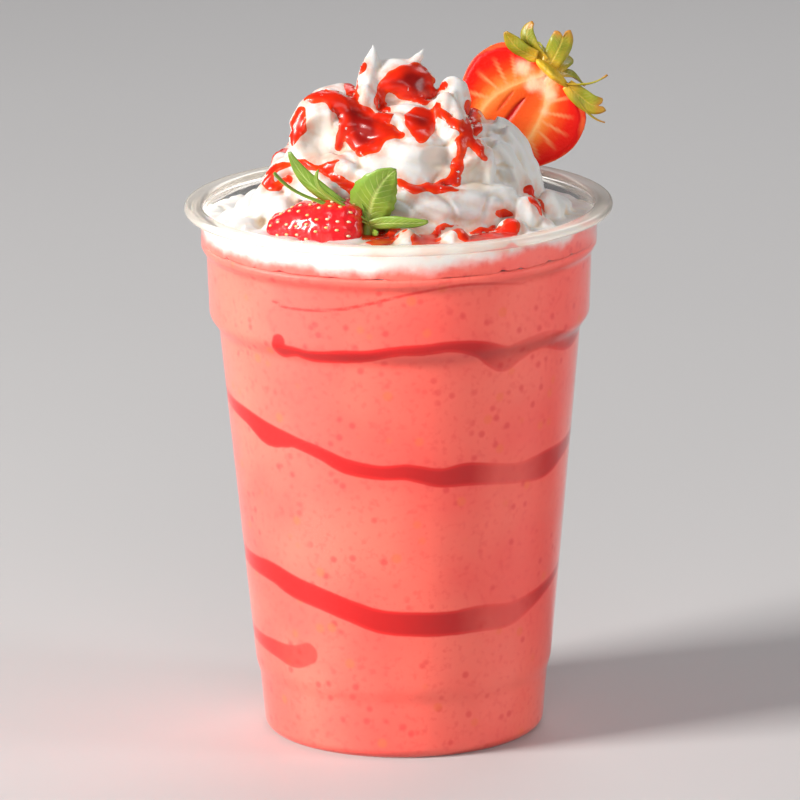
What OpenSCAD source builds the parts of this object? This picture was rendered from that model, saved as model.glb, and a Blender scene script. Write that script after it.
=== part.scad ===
// Strawberry milkshake in a clear tumbler, with a whipped cream swirl,
// one whole strawberry lying in the cream and one halved strawberry standing behind it.
// Origin: centre of the cup's foot. +Z is up, and -Y is the serving side.

/* [Cup] */
// Height from the foot to the top of the rim
cup_h = 120; // [110:1:140]
// Outer radius at the rolled rim
rim_r = 47.5; // [46.5:0.5:56]
// Height of the rolled rim
rim_h = 2; // [1.6:0.1:3]
// Outer radius of the straight collar under the rim
collar_r = 43.9; // [43.5:0.1:44.4]
// Height of that collar
collar_h = 7.4; // [6:0.2:9]
// Outer radius of the drinking band at its foot
band_r = 42.2; // [41.5:0.1:42.8]
// Height of the drinking band
band_h = 14; // [10:0.5:18]
// Outer radius of the tapered body at its top
body_top_r = 40.1; // [39:0.1:41]
// Outer radius of the tapered body at its foot
body_foot_r = 33; // [32.6:0.1:36]
// Height of the foot ring, up to the lower stacking shoulder
foot_h = 13; // [9:0.5:18]
// Outer radius of the foot ring
foot_r = 31.2; // [28:0.1:32]
// Radius of the rounded corner at the foot
corner_r = 2.6; // [1.5:0.1:4]
// Thickness of the wall and the floor
wall = 0.6; // [0.4:0.05:1.2]
// Rise of the underside inside the foot
punt_h = 1.6; // [0.8:0.1:3]

/* [Contents] */
// Depth of the drink's surface below the rim
fill_drop = 8; // [6:0.5:12]
// Height of the whipped cream above the drink
cream_h = 41; // [33:0.5:48]
// Gap between the cream and the wall
cream_gap = 0.3; // [0.1:0.05:0.6]
// How often the nozzle's ridges wind round the rope in one turn of the swirl
cream_ridges = 8; // [5:1:13]
// Depth of those ridges
ridge_depth = 0.9; // [0.3:0.1:1.4]

/* [Whole strawberry] */
// Largest radius of the whole strawberry
whole_r = 7.5; // [6.5:0.1:7.6]
// Length of the whole strawberry
whole_l = 22.5; // [20:0.5:27]

/* [Halved strawberry] */
// Largest radius of the halved strawberry
half_r = 15; // [12:0.1:15.6]
// Length of the halved strawberry
half_l = 28.5; // [24:0.5:31]

/* [Calyx] */
// Thickness of a sepal at its middle
sepal_t = 0.8; // [0.6:0.1:1.2]

/* [Hidden] */

eps = 0.01;
$fn = 96;

// Levels of the cup, from the foot upwards
shoulder_rise = 3;          // height of each stacking shoulder
collar_rise = 1.6;          // height of the small shoulder under the collar
collar_z = cup_h - rim_h - collar_h;
band_top_z = collar_z - collar_rise;
band_z = band_top_z - band_h;
body_top_z = band_z - shoulder_rise;
body_foot_z = foot_h + shoulder_rise;
band_flare = 0.5;           // the drinking band opens by this much
foot_flare = 0.9;           // the foot ring opens by this much
collar_inner_r = collar_r - wall;
floor_top_z = punt_h + wall;
punt_edge = 2.4;            // width of the ring that the cup stands on
fill_z = cup_h - fill_drop;

// Points of an arc round c, from angle a0 to a1
function arc(c, r, a0, a1, n = 6) =
    [for (i = [0 : n]) c + r * [cos(a0 + (a1 - a0) * i / n), sin(a0 + (a1 - a0) * i / n)]];

// Outer side of the wall above the foot's corner, from the bottom up, moved inwards by t
function wall_line(t) = [
    [foot_r + foot_flare - t, foot_h],
    [body_foot_r - t, body_foot_z],
    [body_top_r - t, body_top_z],
    [band_r - t, band_z],
    [band_r + band_flare - t, band_top_z],
    [collar_r - t, collar_z]];

function backwards(p) = [for (i = [len(p) - 1 : -1 : 0]) p[i]];

// Half section of the cup: up the outside, round the rolled rim and down the inside
function cup_section() = concat(
    [[0, punt_h], [foot_r - corner_r - punt_edge - punt_h, punt_h],
     [foot_r - corner_r - punt_edge, 0]],
    arc([foot_r - corner_r, corner_r], corner_r, -90, 0),
    wall_line(0),
    [[collar_r, cup_h - rim_h]],
    arc([rim_r - rim_h / 2, cup_h - rim_h / 2], rim_h / 2, -90, 90),
    arc([collar_inner_r + rim_h / 2, cup_h - rim_h / 2], rim_h / 2, 90, 180),
    backwards(wall_line(wall)),
    arc([foot_r - corner_r, corner_r], corner_r - wall, 0, -90),
    [[foot_r - corner_r - punt_edge + wall / 2, wall],
     [foot_r - corner_r - punt_edge - punt_h, floor_top_z], [0, floor_top_z]]);

module cup() {
    color([0.93, 0.95, 0.96, 0.3])
        rotate_extrude() polygon(cup_section());
}

// Half section of the space inside the cup, up to the height z inside the collar
function inner_section(z) = concat(
    [[0, floor_top_z], [foot_r - corner_r - punt_edge - punt_h, floor_top_z],
     [foot_r - corner_r - punt_edge + wall / 2, wall]],
    arc([foot_r - corner_r, corner_r], corner_r - wall, -90, 0),
    wall_line(wall),
    [[collar_inner_r, z], [0, z]]);

module milkshake() {
    color([0.98, 0.55, 0.5])
        rotate_extrude() polygon(inner_section(fill_z));
}

/* The whipped cream: a rope piped round and up in turns that get smaller.
   Its skin is found along rays from the centre of the drink's surface: each ray ends
   where it leaves the outermost turn that it meets. */

cream_r = collar_inner_r - cream_gap;
cream_turns = 3;
rope_r0 = 8.8;              // radius of the rope where it starts, at the wall
rope_r1 = 6.4;              // radius of the rope at the top turn
ring_r0 = 25;               // radius of the lowest turn
ring_r1 = 4.4;              // radius of the topmost turn
rope_z0 = 2.4;              // height of the lowest turn above the drink
rope_z1 = cream_h - rope_r1 - 3.6;   // height of the topmost turn above the drink
closing = 1.6;              // how late the turns draw in: 1 gives an even cone
climb = 0.78;               // how early they climb: 1 gives an even climb
rope_grooves = 3;           // grooves round the rope's own section
layer_z = 3;                // height of the flat cream on the drink, at the back
front_lift = 4.2;           // that cream lies this much higher on the serving side
cream_steps = 84;
cream_rows = 36;

edge_rows = 2;              // rows up the cream's edge at the wall
tiny = 0.02;

function mix(a, b, t) = a + (b - a) * t;
function clamp01(t) = min(1, max(0, t));

// Place along the rope, 0 to 1, of turn k where it passes the azimuth a
function rope_at(a, k) = clamp01((k + ((a + 90) % 360) / 360) / cream_turns);
function ring_radius(t) = mix(ring_r0, ring_r1, pow(t, closing));
function ring_height(t) = mix(rope_z0, rope_z1, pow(t, climb));
function rope_radius(t) = mix(rope_r0, rope_r1, t);

// Distance along the ray at elevation e where it leaves a circle with centre (x, z), or 0
function leaves(e, x, z, r) =
    let (along = x * cos(e) + z * sin(e), off = r * r - (x * x + z * z - along * along))
    off > 0 ? along + sqrt(off) : 0;

// The same for the grooved rope of a turn: the grooves wind round it as it runs
function leaves_rope(a, e, t) =
    let (x = ring_radius(t), z = ring_height(t), d = leaves(e, x, z, rope_radius(t)),
         round = atan2(d * sin(e) - z, d * cos(e) - x))
    d > 0 ? d + ridge_depth * cos(rope_grooves * round + cream_ridges * a) : 0;

// The soft core that closes the gaps between the turns
core_w = 25;
core_top = cream_h * 0.8;
function core_reach(e) = 1 / norm([cos(e) / core_w, sin(e) / core_top]);

// Small peaks that the nozzle leaves on top: [azimuth, elevation, height, width in degrees]
peaks = [[190, 82.5, 5.6, 4], [-15, 81.5, 5, 4], [25, 74, 2.8, 4], [100, 78, 4, 5]];
function turned(a, b) = (a - b + 540) % 360 - 180;
function sum_of(v, i = 0) = i < len(v) ? v[i] + sum_of(v, i + 1) : 0;
function peak_lift(a, e) = sum_of([for (p = peaks)
    p[2] * exp(-(pow(turned(a, p[0]) * cos(e), 2) + pow(e - p[1], 2)) / pow(p[3], 2))]);

// The flat layer of cream on the drink: it lies higher on the serving side
function layer_height(a) = layer_z + front_lift * clamp01((1 - sin(a)) / 2);
function layer_reach(a, e) = layer_height(a) / max(sin(e), tiny);

function cream_reach(a, e) =
    let (turns = [for (k = [0 : cream_turns]) leaves_rope(a, e, rope_at(a, k))],
         swirl = max(concat(turns, [core_reach(e)])) + peak_lift(a, e))
    min(cream_r / max(cos(e), tiny), max(swirl, layer_reach(a, e)));

// Elevation of row j: the first rows end where the layer meets the wall
function elevation(a, j) =
    let (edge = atan(layer_height(a) / cream_r))
    j < edge_rows ? edge * j / edge_rows
                  : mix(edge, 90, (j - edge_rows) / (cream_rows - edge_rows));

function cream_point(i, j) =
    let (a = 360 * i / cream_steps, e = elevation(a, j), d = cream_reach(a, e))
    [d * cos(e) * cos(a), d * cos(e) * sin(a), fill_z + d * sin(e)];

module cream_mass() {
    n = cream_steps;
    rings = [for (j = [0 : cream_rows - 1], i = [0 : n - 1]) cream_point(i, j)];
    top = [0, 0, fill_z + cream_reach(0, 90)];
    points = concat(rings, [top, [0, 0, fill_z]]);
    sides = [for (j = [0 : cream_rows - 2], i = [0 : n - 1])
        each [[j * n + i, (j + 1) * n + (i + 1) % n, j * n + (i + 1) % n],
              [j * n + i, (j + 1) * n + i, (j + 1) * n + (i + 1) % n]]];
    cap = [for (i = [0 : n - 1])
        [(cream_rows - 1) * n + i, len(rings), (cream_rows - 1) * n + (i + 1) % n]];
    base = [for (i = [0 : n - 1]) [i, (i + 1) % n, len(rings) + 1]];
    polyhedron(points = points, faces = concat(sides, cap, base));
}

module whipped_cream() {
    color([0.98, 0.97, 0.95]) difference() {
        cream_mass();
        place_whole() berry(whole_r, whole_l, 360);
        place_whole() hub(whole_r, 360);
        place_half() berry(half_r, half_l, 180);
    }
}

/* Strawberries. In its own frame a berry hangs down from its calyx seat: the seat is
   a small flat disc at z = 0, and the tip points down. */

seat_share = 0.2;           // radius of the calyx seat, as a share of the berry's
berry_rows = 16;

// The side swells fast from the seat to the shoulders, then narrows to a blunt tip
function berry_radius(r, s) =
    r * (seat_share * (1 - pow(s, 3)) + (1 - seat_share) * pow(sin(180 * pow(s, 0.6)), 0.72));

module berry(r, l, angle) {
    side = [for (i = [0 : berry_rows]) let (s = i / berry_rows)
            [max(0, berry_radius(r, s)), -l * s]];
    rotate_extrude(angle = angle) polygon(concat([[0, 0]], side));
}

// The whole berry lies on its side at the front left, half sunk in the cream
whole_at = [-7.2, -29.5, fill_z + 7.7];
module place_whole() {
    translate(whole_at) rotate([0, 88, -16]) children();
}

// The halved berry stands behind, on its tip, with its cut face to the serving side
half_at = [34.0, 22.5, fill_z + 31.4];
module place_half() {
    translate(half_at) rotate([0, 0, -8]) rotate([-8, 0, 0]) rotate([0, 41, 0]) children();
}

module whole_strawberry() {
    color([0.87, 0.06, 0.08]) place_whole() berry(whole_r, whole_l, 360);
}

module half_strawberry() {
    color([0.95, 0.18, 0.08]) place_half() berry(half_r, half_l, 180);
}

/* A sepal starts at the hub, at the azimuth a round the berry's axis. It leans away from
   that axis, bends along an arc to its outer side and is rolled about its own length. */

sepal_steps = 9;
rib = 6;                    // points round a sepal's lens-shaped section
sepal_taper = 0.6;          // share of its thickness that a sepal loses by its tip

function arc_point(l, bend, s) =
    let (c = bend * PI / 180)
    l / c * [1 - cos(bend * s), sin(bend * s)];

// Half width along a sepal: it swells to its middle and comes to a blunt point
function half_width(w, s) = w / 2 * (0.2 + 0.8 * pow(sin(180 * (0.08 + 0.88 * s)), 0.8));

// One point of the section at s: across by x, and y along the leaf's own normal
function section_point(l, w, bend, s, q) =
    let (p = arc_point(l, bend, s), tilt = bend * s,
         x = half_width(w, s) * cos(360 * q / rib),
         y = -sepal_t / 2 * (1 - sepal_taper * s) * sin(360 * q / rib))
    [p[0] + y * cos(tilt), x, p[1] - y * sin(tilt)];

module sepal(a, start, l, w, lean, bend, roll) {
    n = rib;
    points = [for (i = [0 : sepal_steps], q = [0 : n - 1])
        section_point(l, w, bend, i / sepal_steps, q)];
    sides = [for (i = [0 : sepal_steps - 1], q = [0 : n - 1])
        each [[i * n + q, (i + 1) * n + (q + 1) % n, i * n + (q + 1) % n],
              [i * n + q, (i + 1) * n + q, (i + 1) * n + (q + 1) % n]]];
    ends = [[for (q = [0 : n - 1]) q],
            [for (q = [n - 1 : -1 : 0]) sepal_steps * n + q]];
    rotate([0, 0, a]) translate([start, 0, hub_h / 2]) rotate([0, lean, 0]) rotate([0, 0, roll])
        polyhedron(points = points, faces = concat(sides, ends));
}

// Sepals: [azimuth, length, width, lean, bend, roll]
whole_sepals = [
    [200, 21, 3.0, 94, 30, 20],
    [222, 16, 1.4, 104, 12, 0],
    [188, 11, 2.4, 78, 10, 60],
    [196, 14.5, 9.0, 62, 16, 96],
    [180, 8, 3.4, 98, 22, 0],
    [224, 14.5, 3.0, 18, -14, 70],
    [262, 6, 1.8, 50, 10, 0]];
half_sepals = [
    [180, 12, 3.6, 84, -12, 60],
    [172, 13, 3.4, 70, -12, 20],
    [176, 11.5, 5.0, 26, 10, 90],
    [4, 11.5, 1.6, 56, -24, 0],
    [8, 12.7, 4.8, 76, 12, 90],
    [3, 14, 1.6, 96, -16, 0],
    [90, 12, 4.5, 50, 50, 0],
    [125, 11, 4.0, 66, 40, 0],
    [55, 11, 4.0, 66, 40, 0]];

// The hub: a low boss on the berry's seat
hub_h = 2;

module hub(r, angle) {
    hub_r = r * seat_share;
    rotate_extrude(angle = angle)
        polygon([[0, 0], [hub_r, 0], [hub_r, sepal_t], [hub_r / 2, hub_h], [0, hub_h]]);
}

module calyx(r, sepals, angle) {
    union() {
        hub(r, angle);
        for (s = sepals) sepal(s[0], r * seat_share / 2, s[1], s[2], s[3], s[4], s[5]);
    }
}

module whole_calyx() {
    color([0.45, 0.62, 0.13]) place_whole() calyx(whole_r, whole_sepals, 360);
}

module half_calyx() {
    color([0.62, 0.6, 0.1]) place_half() calyx(half_r, half_sepals, 180);
}

cup();
milkshake();
whipped_cream();
whole_strawberry();
whole_calyx();
half_strawberry();
half_calyx();
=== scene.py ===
"""Strawberry milkshake in a clear tumbler: the looks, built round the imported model.

Lengths in the class fields are millimetres unless a name says otherwise. The tumbler stands at
the origin with +Z up, and -Y is the serving side. Azimuths are degrees, 0 at +X and 90 at +Y.
"""

import logging
import math
from dataclasses import dataclass
from enum import Enum
from typing import Any, Sequence

import bmesh
import bpy
import numpy as np
from mathutils import Matrix, Vector, noise
from mathutils.bvhtree import BVHTree


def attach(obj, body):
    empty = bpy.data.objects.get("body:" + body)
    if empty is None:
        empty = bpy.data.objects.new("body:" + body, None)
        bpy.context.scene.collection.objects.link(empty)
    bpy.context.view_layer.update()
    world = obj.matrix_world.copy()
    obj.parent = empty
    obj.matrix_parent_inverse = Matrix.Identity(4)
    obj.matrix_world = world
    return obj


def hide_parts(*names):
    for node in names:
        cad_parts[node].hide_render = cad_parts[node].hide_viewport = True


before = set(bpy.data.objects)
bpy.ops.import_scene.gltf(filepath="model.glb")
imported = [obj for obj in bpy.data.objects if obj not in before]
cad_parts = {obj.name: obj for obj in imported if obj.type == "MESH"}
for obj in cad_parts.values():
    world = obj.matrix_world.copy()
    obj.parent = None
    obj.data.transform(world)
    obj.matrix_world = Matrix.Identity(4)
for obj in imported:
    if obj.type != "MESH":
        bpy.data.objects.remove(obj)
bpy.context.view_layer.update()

LOG = logging.getLogger("milkshake")
MM = 0.001
BODY = "root"
Point = tuple[float, float]
Colour = tuple[float, float, float]


# Shader building ---------------------------------------------------------------------------


class Value:
    """A number socket in a shader, with Python's arithmetic."""

    def __init__(self, shader: "Shader", socket: bpy.types.NodeSocket) -> None:
        """Wrap a socket of one shader."""
        self.shader = shader
        self.socket = socket

    def _math(self, operation: str, first: Any, second: Any = None) -> "Value":
        """Add one Math node and return its result."""
        inputs = {0: first} if second is None else {0: first, 1: second}
        return self.shader.node("ShaderNodeMath", {"operation": operation}, inputs)

    def __add__(self, other: Any) -> "Value":
        """self + other."""
        return self._math("ADD", self, other)

    __radd__ = __add__

    def __sub__(self, other: Any) -> "Value":
        """self - other."""
        return self._math("SUBTRACT", self, other)

    def __rsub__(self, other: Any) -> "Value":
        """other - self."""
        return self._math("SUBTRACT", other, self)

    def __mul__(self, other: Any) -> "Value":
        """self * other."""
        return self._math("MULTIPLY", self, other)

    __rmul__ = __mul__

    def __pow__(self, other: Any) -> "Value":
        """self to the power of other."""
        return self._math("POWER", self, other)

    def sine(self) -> "Value":
        """The sine of self, in radians."""
        return self._math("SINE", self)

    def magnitude(self) -> "Value":
        """self without its sign."""
        return self._math("ABSOLUTE", self)

    def step(self, low: float, high: float) -> "Value":
        """Rise smoothly from 0 at low to 1 at high.

        Args:
            low: where the step starts.
            high: where the step ends; below low, the step falls.

        Returns:
            A value between 0 and 1.
        """
        flip = high < low
        bounds = {1: min(low, high), 2: max(low, high), 3: 1.0 if flip else 0.0, 4: 0.0 if flip else 1.0}
        settings = {"interpolation_type": "SMOOTHSTEP"}
        return self.shader.node("ShaderNodeMapRange", settings, {0: self, **bounds})


class Shader:
    """A node material, built through one method for every kind of node."""

    def __init__(self, name: str) -> None:
        """Start an empty material.

        Args:
            name: the material's name.
        """
        self.material = bpy.data.materials.new(name)
        self.material.use_nodes = True
        self.tree = self.material.node_tree
        self.tree.nodes.clear()

    def node(
        self,
        kind: str,
        settings: dict[str, Any] | None = None,
        inputs: dict[Any, Any] | None = None,
        result: Any = 0,
    ) -> Value:
        """Add a node.

        Args:
            kind: the node's type.
            settings: properties to set first; "stops" fills a colour ramp.
            inputs: a value or a link for each socket, by name, identifier or number.
            result: the output wanted, by name, identifier or number.

        Returns:
            The wanted output.
        """
        made = self.tree.nodes.new(kind)
        for key, value in (settings or {}).items():
            if key == "stops":
                ramp = made.color_ramp
                while len(ramp.elements) < len(value):
                    ramp.elements.new(0.5)
                for element, (place, colour) in zip(ramp.elements, value):
                    element.position = place
                    element.color = (*colour, 1.0)
            else:
                setattr(made, key, value)
        for key, value in (inputs or {}).items():
            socket = self._socket(made.inputs, key)
            if isinstance(value, Value):
                self.tree.links.new(value.socket, socket)
            elif isinstance(value, tuple) and socket.type == "RGBA":
                socket.default_value = (*value, 1.0) if len(value) == 3 else value
            else:
                socket.default_value = value
        return Value(self, self._socket(made.outputs, result))

    @staticmethod
    def _socket(sockets: Any, key: Any) -> bpy.types.NodeSocket:
        """Find a socket by number, identifier or name."""
        if isinstance(key, int):
            return sockets[key]
        return next((s for s in sockets if s.identifier == key), None) or sockets[key]

    def place(self) -> Value:
        """The point of the surface, in metres, in the object's own frame."""
        return self.node("ShaderNodeTexCoord", result="Object")

    def attribute(self, name: str) -> Value:
        """A number painted on the mesh."""
        return self.node("ShaderNodeAttribute", {"attribute_name": name}, result="Fac")

    def uv(self, axis: str) -> Value:
        """One coordinate, X or Y, of the piece's own UV map."""
        both = self.node("ShaderNodeTexCoord", result="UV")
        return self.node("ShaderNodeSeparateXYZ", inputs={0: both}, result=axis)

    def grain(self, size: float, detail: float = 3.0, rough: float = 0.5) -> Value:
        """Noise over the surface.

        Args:
            size: width of one blotch, mm.
            detail: how many finer layers it holds.
            rough: strength of the finer layers.

        Returns:
            A value round 0.5.
        """
        inputs = {"Vector": self.place(), "Scale": 1 / (size * MM), "Detail": detail, "Roughness": rough}
        return self.node("ShaderNodeTexNoise", inputs=inputs)

    def cells(self, size: float, spread: float = 1.0) -> Value:
        """Distance to the nearest of many scattered points, in units of their spacing.

        Args:
            size: spacing of the points, mm.
            spread: how unevenly they lie.

        Returns:
            A value that is 0 at a point.
        """
        inputs = {"Vector": self.place(), "Scale": 1 / (size * MM), "Randomness": spread}
        return self.node("ShaderNodeTexVoronoi", inputs=inputs)

    def mix(self, share: Any, first: Any, second: Any) -> Value:
        """Mix two colours.

        Args:
            share: how much of the second shows.
            first: the first colour.
            second: the second colour.

        Returns:
            The mixed colour.
        """
        inputs = {"Factor_Float": share, "A_Color": first, "B_Color": second}
        return self.node("ShaderNodeMix", {"data_type": "RGBA"}, inputs, "Result_Color")

    def ramp(self, value: Value, stops: Sequence[tuple[float, Colour]]) -> Value:
        """A colour for each number.

        Args:
            value: a number from 0 to 1.
            stops: places and their colours, in rising order.

        Returns:
            The colour.
        """
        return self.node("ShaderNodeValToRGB", {"stops": list(stops)}, {0: value})

    def bump(self, height: Value, depth: float) -> Value:
        """Small relief in the surface.

        Args:
            height: relief from 0 to 1.
            depth: what 1 stands for, mm.

        Returns:
            The bent normal.
        """
        return self.node("ShaderNodeBump", inputs={"Height": height, "Distance": depth * MM, "Strength": 1.0})

    def finish(self, **inputs: Any) -> bpy.types.Material:
        """Close the material with a Principled shader.

        Args:
            **inputs: its sockets, with underscores for spaces.

        Returns:
            The material.
        """
        named = {key.replace("_", " "): value for key, value in inputs.items()}
        return self.close(self.node("ShaderNodeBsdfPrincipled", inputs=named))

    def close(self, surface: Value) -> bpy.types.Material:
        """Send a shader to the material's output."""
        made = self.tree.nodes.new("ShaderNodeOutputMaterial")
        self.tree.links.new(surface.socket, made.inputs["Surface"])
        return self.material


# Finishes ----------------------------------------------------------------------------------


@dataclass(frozen=True)
class ClearPlastic:
    """Moulded plastic, clear in the wall and milkier where it is thick."""

    name: str = "clear_plastic"
    tint: Colour = (0.985, 0.98, 0.965)
    clearness: float = 1.0
    roughness: float = 0.06
    bend: float = 1.42

    def material(self) -> bpy.types.Material:
        """Build the material."""
        shader = Shader(self.name)
        uneven = shader.grain(9.0, 2.0)
        wall = shader.node("ShaderNodeBsdfPrincipled", inputs={
            "Base Color": self.tint, "Roughness": self.roughness, "IOR": self.bend,
            "Transmission Weight": self.clearness, "Normal": shader.bump(uneven, 0.12)})
        gap = shader.node("ShaderNodeBsdfTransparent", inputs={"Color": (0.96, 0.96, 0.95)})
        shadow = shader.node("ShaderNodeLightPath", result="Is Shadow Ray")
        return shader.close(shader.node("ShaderNodeMixShader", inputs={0: shadow, 1: wall, 2: gap}))


@dataclass(frozen=True)
class ShakeFinish:
    """Blended strawberry drink with fruit specks, sauce streaks and cream at the top."""

    pink: Colour = (0.90, 0.128, 0.100)
    pale: Colour = (0.92, 0.185, 0.135)
    sauce: Colour = (0.70, 0.010, 0.009)
    thick_sauce: Colour = (0.54, 0.002, 0.002)
    cream: Colour = (0.86, 0.79, 0.74)
    fruit: Colour = (0.76, 0.045, 0.045)
    pulp: Colour = (0.86, 0.17, 0.05)

    def drink(self, shader: Shader) -> Value:
        """The colour of the drink without its streaks."""
        body = shader.mix(shader.grain(26.0, 2.0).step(0.35, 0.7), self.pink, self.pale)
        body = shader.mix(shader.grain(1.5, 2.0).step(0.50, 0.75) * 0.30, body, self.fruit)
        rare = shader.grain(12.0, 1.0).step(0.38, 0.55)
        specks = shader.cells(3.8).step(0.30, 0.10) * rare * 0.6
        body = shader.mix(specks, body, self.fruit)
        blots = shader.cells(7.5).step(0.20, 0.08) * 0.55
        return shader.mix(blots, body, self.pulp)

    def material(self) -> bpy.types.Material:
        """Build the material."""
        shader = Shader("milkshake")
        body = self.drink(shader)
        wander = (shader.grain(2.2, 2.0) - 0.5) * 0.35
        streak = (shader.attribute("streak") + wander).step(0.0, 0.75)
        depth = shader.attribute("streak").step(0.8, 1.8)
        sauce = shader.mix(depth, self.sauce, self.thick_sauce)
        # The strength includes painted reflection: it dims the sauce where a lamp's pale veil lies on the
        # wall.
        body = shader.mix(streak * shader.attribute("strength"), body, sauce)
        edge = (shader.attribute("cream_edge") + (shader.grain(3.0, 3.0) - 0.5) * 2.6).step(-1.9, 1.6)
        body = shader.mix(edge, body, self.cream)
        return shader.finish(Base_Color=body, Roughness=0.45, Specular_IOR_Level=0.3,
                             Subsurface_Weight=0.2, Subsurface_Radius=(1.0, 0.4, 0.3),
                             Subsurface_Scale=1.0 * MM)


@dataclass(frozen=True)
class CreamFinish:
    """Whipped cream, stained by sauce where the two meet, and by drink at the wall, with painted shade in its
    creases.
    """

    white: Colour = (0.80, 0.785, 0.765)
    hollow: Colour = (0.80, 0.67, 0.52)
    stain: Colour = (0.86, 0.36, 0.22)

    def material(self) -> bpy.types.Material:
        """Build the material."""
        shader = Shader("whipped_cream")
        # Painted shade: a warm beige darkening in the creases and dents, where shade falls.
        body = shader.mix(shader.attribute("hollow"), self.white, self.hollow)
        stain = shader.attribute("stain") * shader.grain(2.5, 3.0).step(0.3, 0.65)
        body = shader.mix(stain * 0.7, body, self.stain)
        soak = (shader.attribute("soak") + (shader.grain(3.0, 3.0) - 0.5) * 2.6).step(-1.6, 1.9)
        body = shader.mix(soak, body, ShakeFinish().drink(shader))
        relief = shader.grain(1.3, 4.0, 0.6) * 0.6 + shader.grain(4.0, 2.0) * 0.4
        return shader.finish(Base_Color=body, Roughness=0.42, Specular_IOR_Level=0.35,
                             Subsurface_Weight=0.35, Subsurface_Radius=(1.0, 0.7, 0.45),
                             Subsurface_Scale=2.5 * MM, Normal=shader.bump(relief, 0.16))


@dataclass(frozen=True)
class SauceFinish:
    """Thick glossy strawberry sauce: bright where thin, deep where it pools."""

    thin: Colour = (0.90, 0.055, 0.004)
    full: Colour = (0.76, 0.018, 0.002)
    pooled: Colour = (0.30, 0.003, 0.001)

    def material(self) -> bpy.types.Material:
        """Build the material."""
        shader = Shader("strawberry_sauce")
        depth = shader.attribute("depth") + (shader.grain(5.0, 2.0) - 0.5) * 1.3
        body = shader.mix(depth.step(0.0, 0.8), self.thin, self.full)
        body = shader.mix(depth.step(1.3, 3.4), body, self.pooled)
        ripple = shader.bump(shader.grain(3.5, 2.0), 0.10)
        return shader.finish(Base_Color=body, Roughness=0.28, Specular_IOR_Level=0.35, Coat_Weight=0.18,
                             Coat_Roughness=0.05, Subsurface_Weight=0.12,
                             Subsurface_Radius=(1.0, 0.12, 0.05), Subsurface_Scale=1.2 * MM, Normal=ripple)


@dataclass(frozen=True)
class BerrySkin:
    """Ripe strawberry skin, paler at the shoulders under the calyx."""

    ripe: Colour = (0.80, 0.006, 0.014)
    bright: Colour = (0.90, 0.022, 0.026)
    shoulder: Colour = (0.88, 0.14, 0.06)

    def material(self, name: str) -> bpy.types.Material:
        """Build the material under a name."""
        shader = Shader(name)
        body = shader.mix(shader.grain(4.0, 3.0).step(0.35, 0.7), self.ripe, self.bright)
        body = shader.mix(shader.attribute("shoulder"), body, self.shoulder)
        relief = shader.grain(0.9, 3.0) * 0.5 + shader.cells(0.8) * 0.3
        return shader.finish(Base_Color=body, Roughness=0.26, Coat_Weight=0.6, Coat_Roughness=0.12,
                             Subsurface_Weight=0.15, Subsurface_Radius=(1.0, 0.1, 0.06),
                             Subsurface_Scale=2.0 * MM, Normal=shader.bump(relief, 0.12))


@dataclass(frozen=True)
class SeedFinish:
    """Straw-coloured seeds, browner at one end."""

    straw: Colour = (0.86, 0.56, 0.16)
    pale: Colour = (0.90, 0.74, 0.50)

    def material(self, name: str) -> bpy.types.Material:
        """Build the material under a name."""
        shader = Shader(name)
        body = shader.mix(shader.grain(1.4, 2.0).step(0.4, 0.6), self.straw, self.pale)
        return shader.finish(Base_Color=body, Roughness=0.35, Coat_Weight=0.4,
                             Normal=shader.bump(shader.grain(0.4, 2.0), 0.05))


@dataclass(frozen=True)
class CutFlesh:
    """The cut face of a strawberry: core, pale ring, veins and bright flesh."""

    stops: tuple[tuple[float, Colour], ...] = (
        (0.00, (0.86, 0.085, 0.008)),
        (0.30, (0.92, 0.130, 0.014)),
        (0.44, (0.97, 0.26, 0.050)),
        (0.50, (1.00, 0.52, 0.190)),
        (0.57, (1.00, 0.28, 0.045)),
        (0.70, (1.00, 0.070, 0.005)),
        (0.84, (0.96, 0.012, 0.002)),
        (0.965, (0.86, 0.004, 0.002)),
        (1.00, (0.95, 0.12, 0.030)),
    )
    vein: Colour = (1.00, 0.42, 0.16)
    heart: Colour = (0.96, 0.76, 0.50)
    slit_shade: Colour = (0.52, 0.004, 0.002)

    def material(self) -> bpy.types.Material:
        """Build the material."""
        shader = Shader("cut_strawberry")
        wander = (shader.grain(3.0, 3.0) - 0.5) * 0.10
        ring = shader.attribute("ring") * 0.5 + 0.5 + wander
        body = shader.ramp(ring, self.stops)
        body = shader.mix(shader.attribute("vein") * 0.85, body, self.vein)
        crown = (shader.attribute("crown") + (shader.grain(2.0, 3.0) - 0.5) * 0.6).step(0.18, 1.0)
        body = shader.mix(crown * 0.9, body, self.heart)
        # The slits: deep red flesh, darkened further as painted shade in their narrow recesses.
        body = shader.mix(shader.attribute("slit"), body, self.slit_shade)
        fibres = shader.grain(0.7, 4.0, 0.6)
        return shader.finish(Base_Color=body, Roughness=0.4, Specular_IOR_Level=0.22, Coat_Weight=0.08,
                             Coat_Roughness=0.2, Subsurface_Weight=0.2,
                             Subsurface_Radius=(1.0, 0.25, 0.1), Subsurface_Scale=1.5 * MM,
                             Normal=shader.bump(fibres, 0.15))


class LeafKind(Enum):
    """The state of a leaf."""

    FRESH = "fresh_leaf"
    DRY = "dry_leaf"


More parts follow.
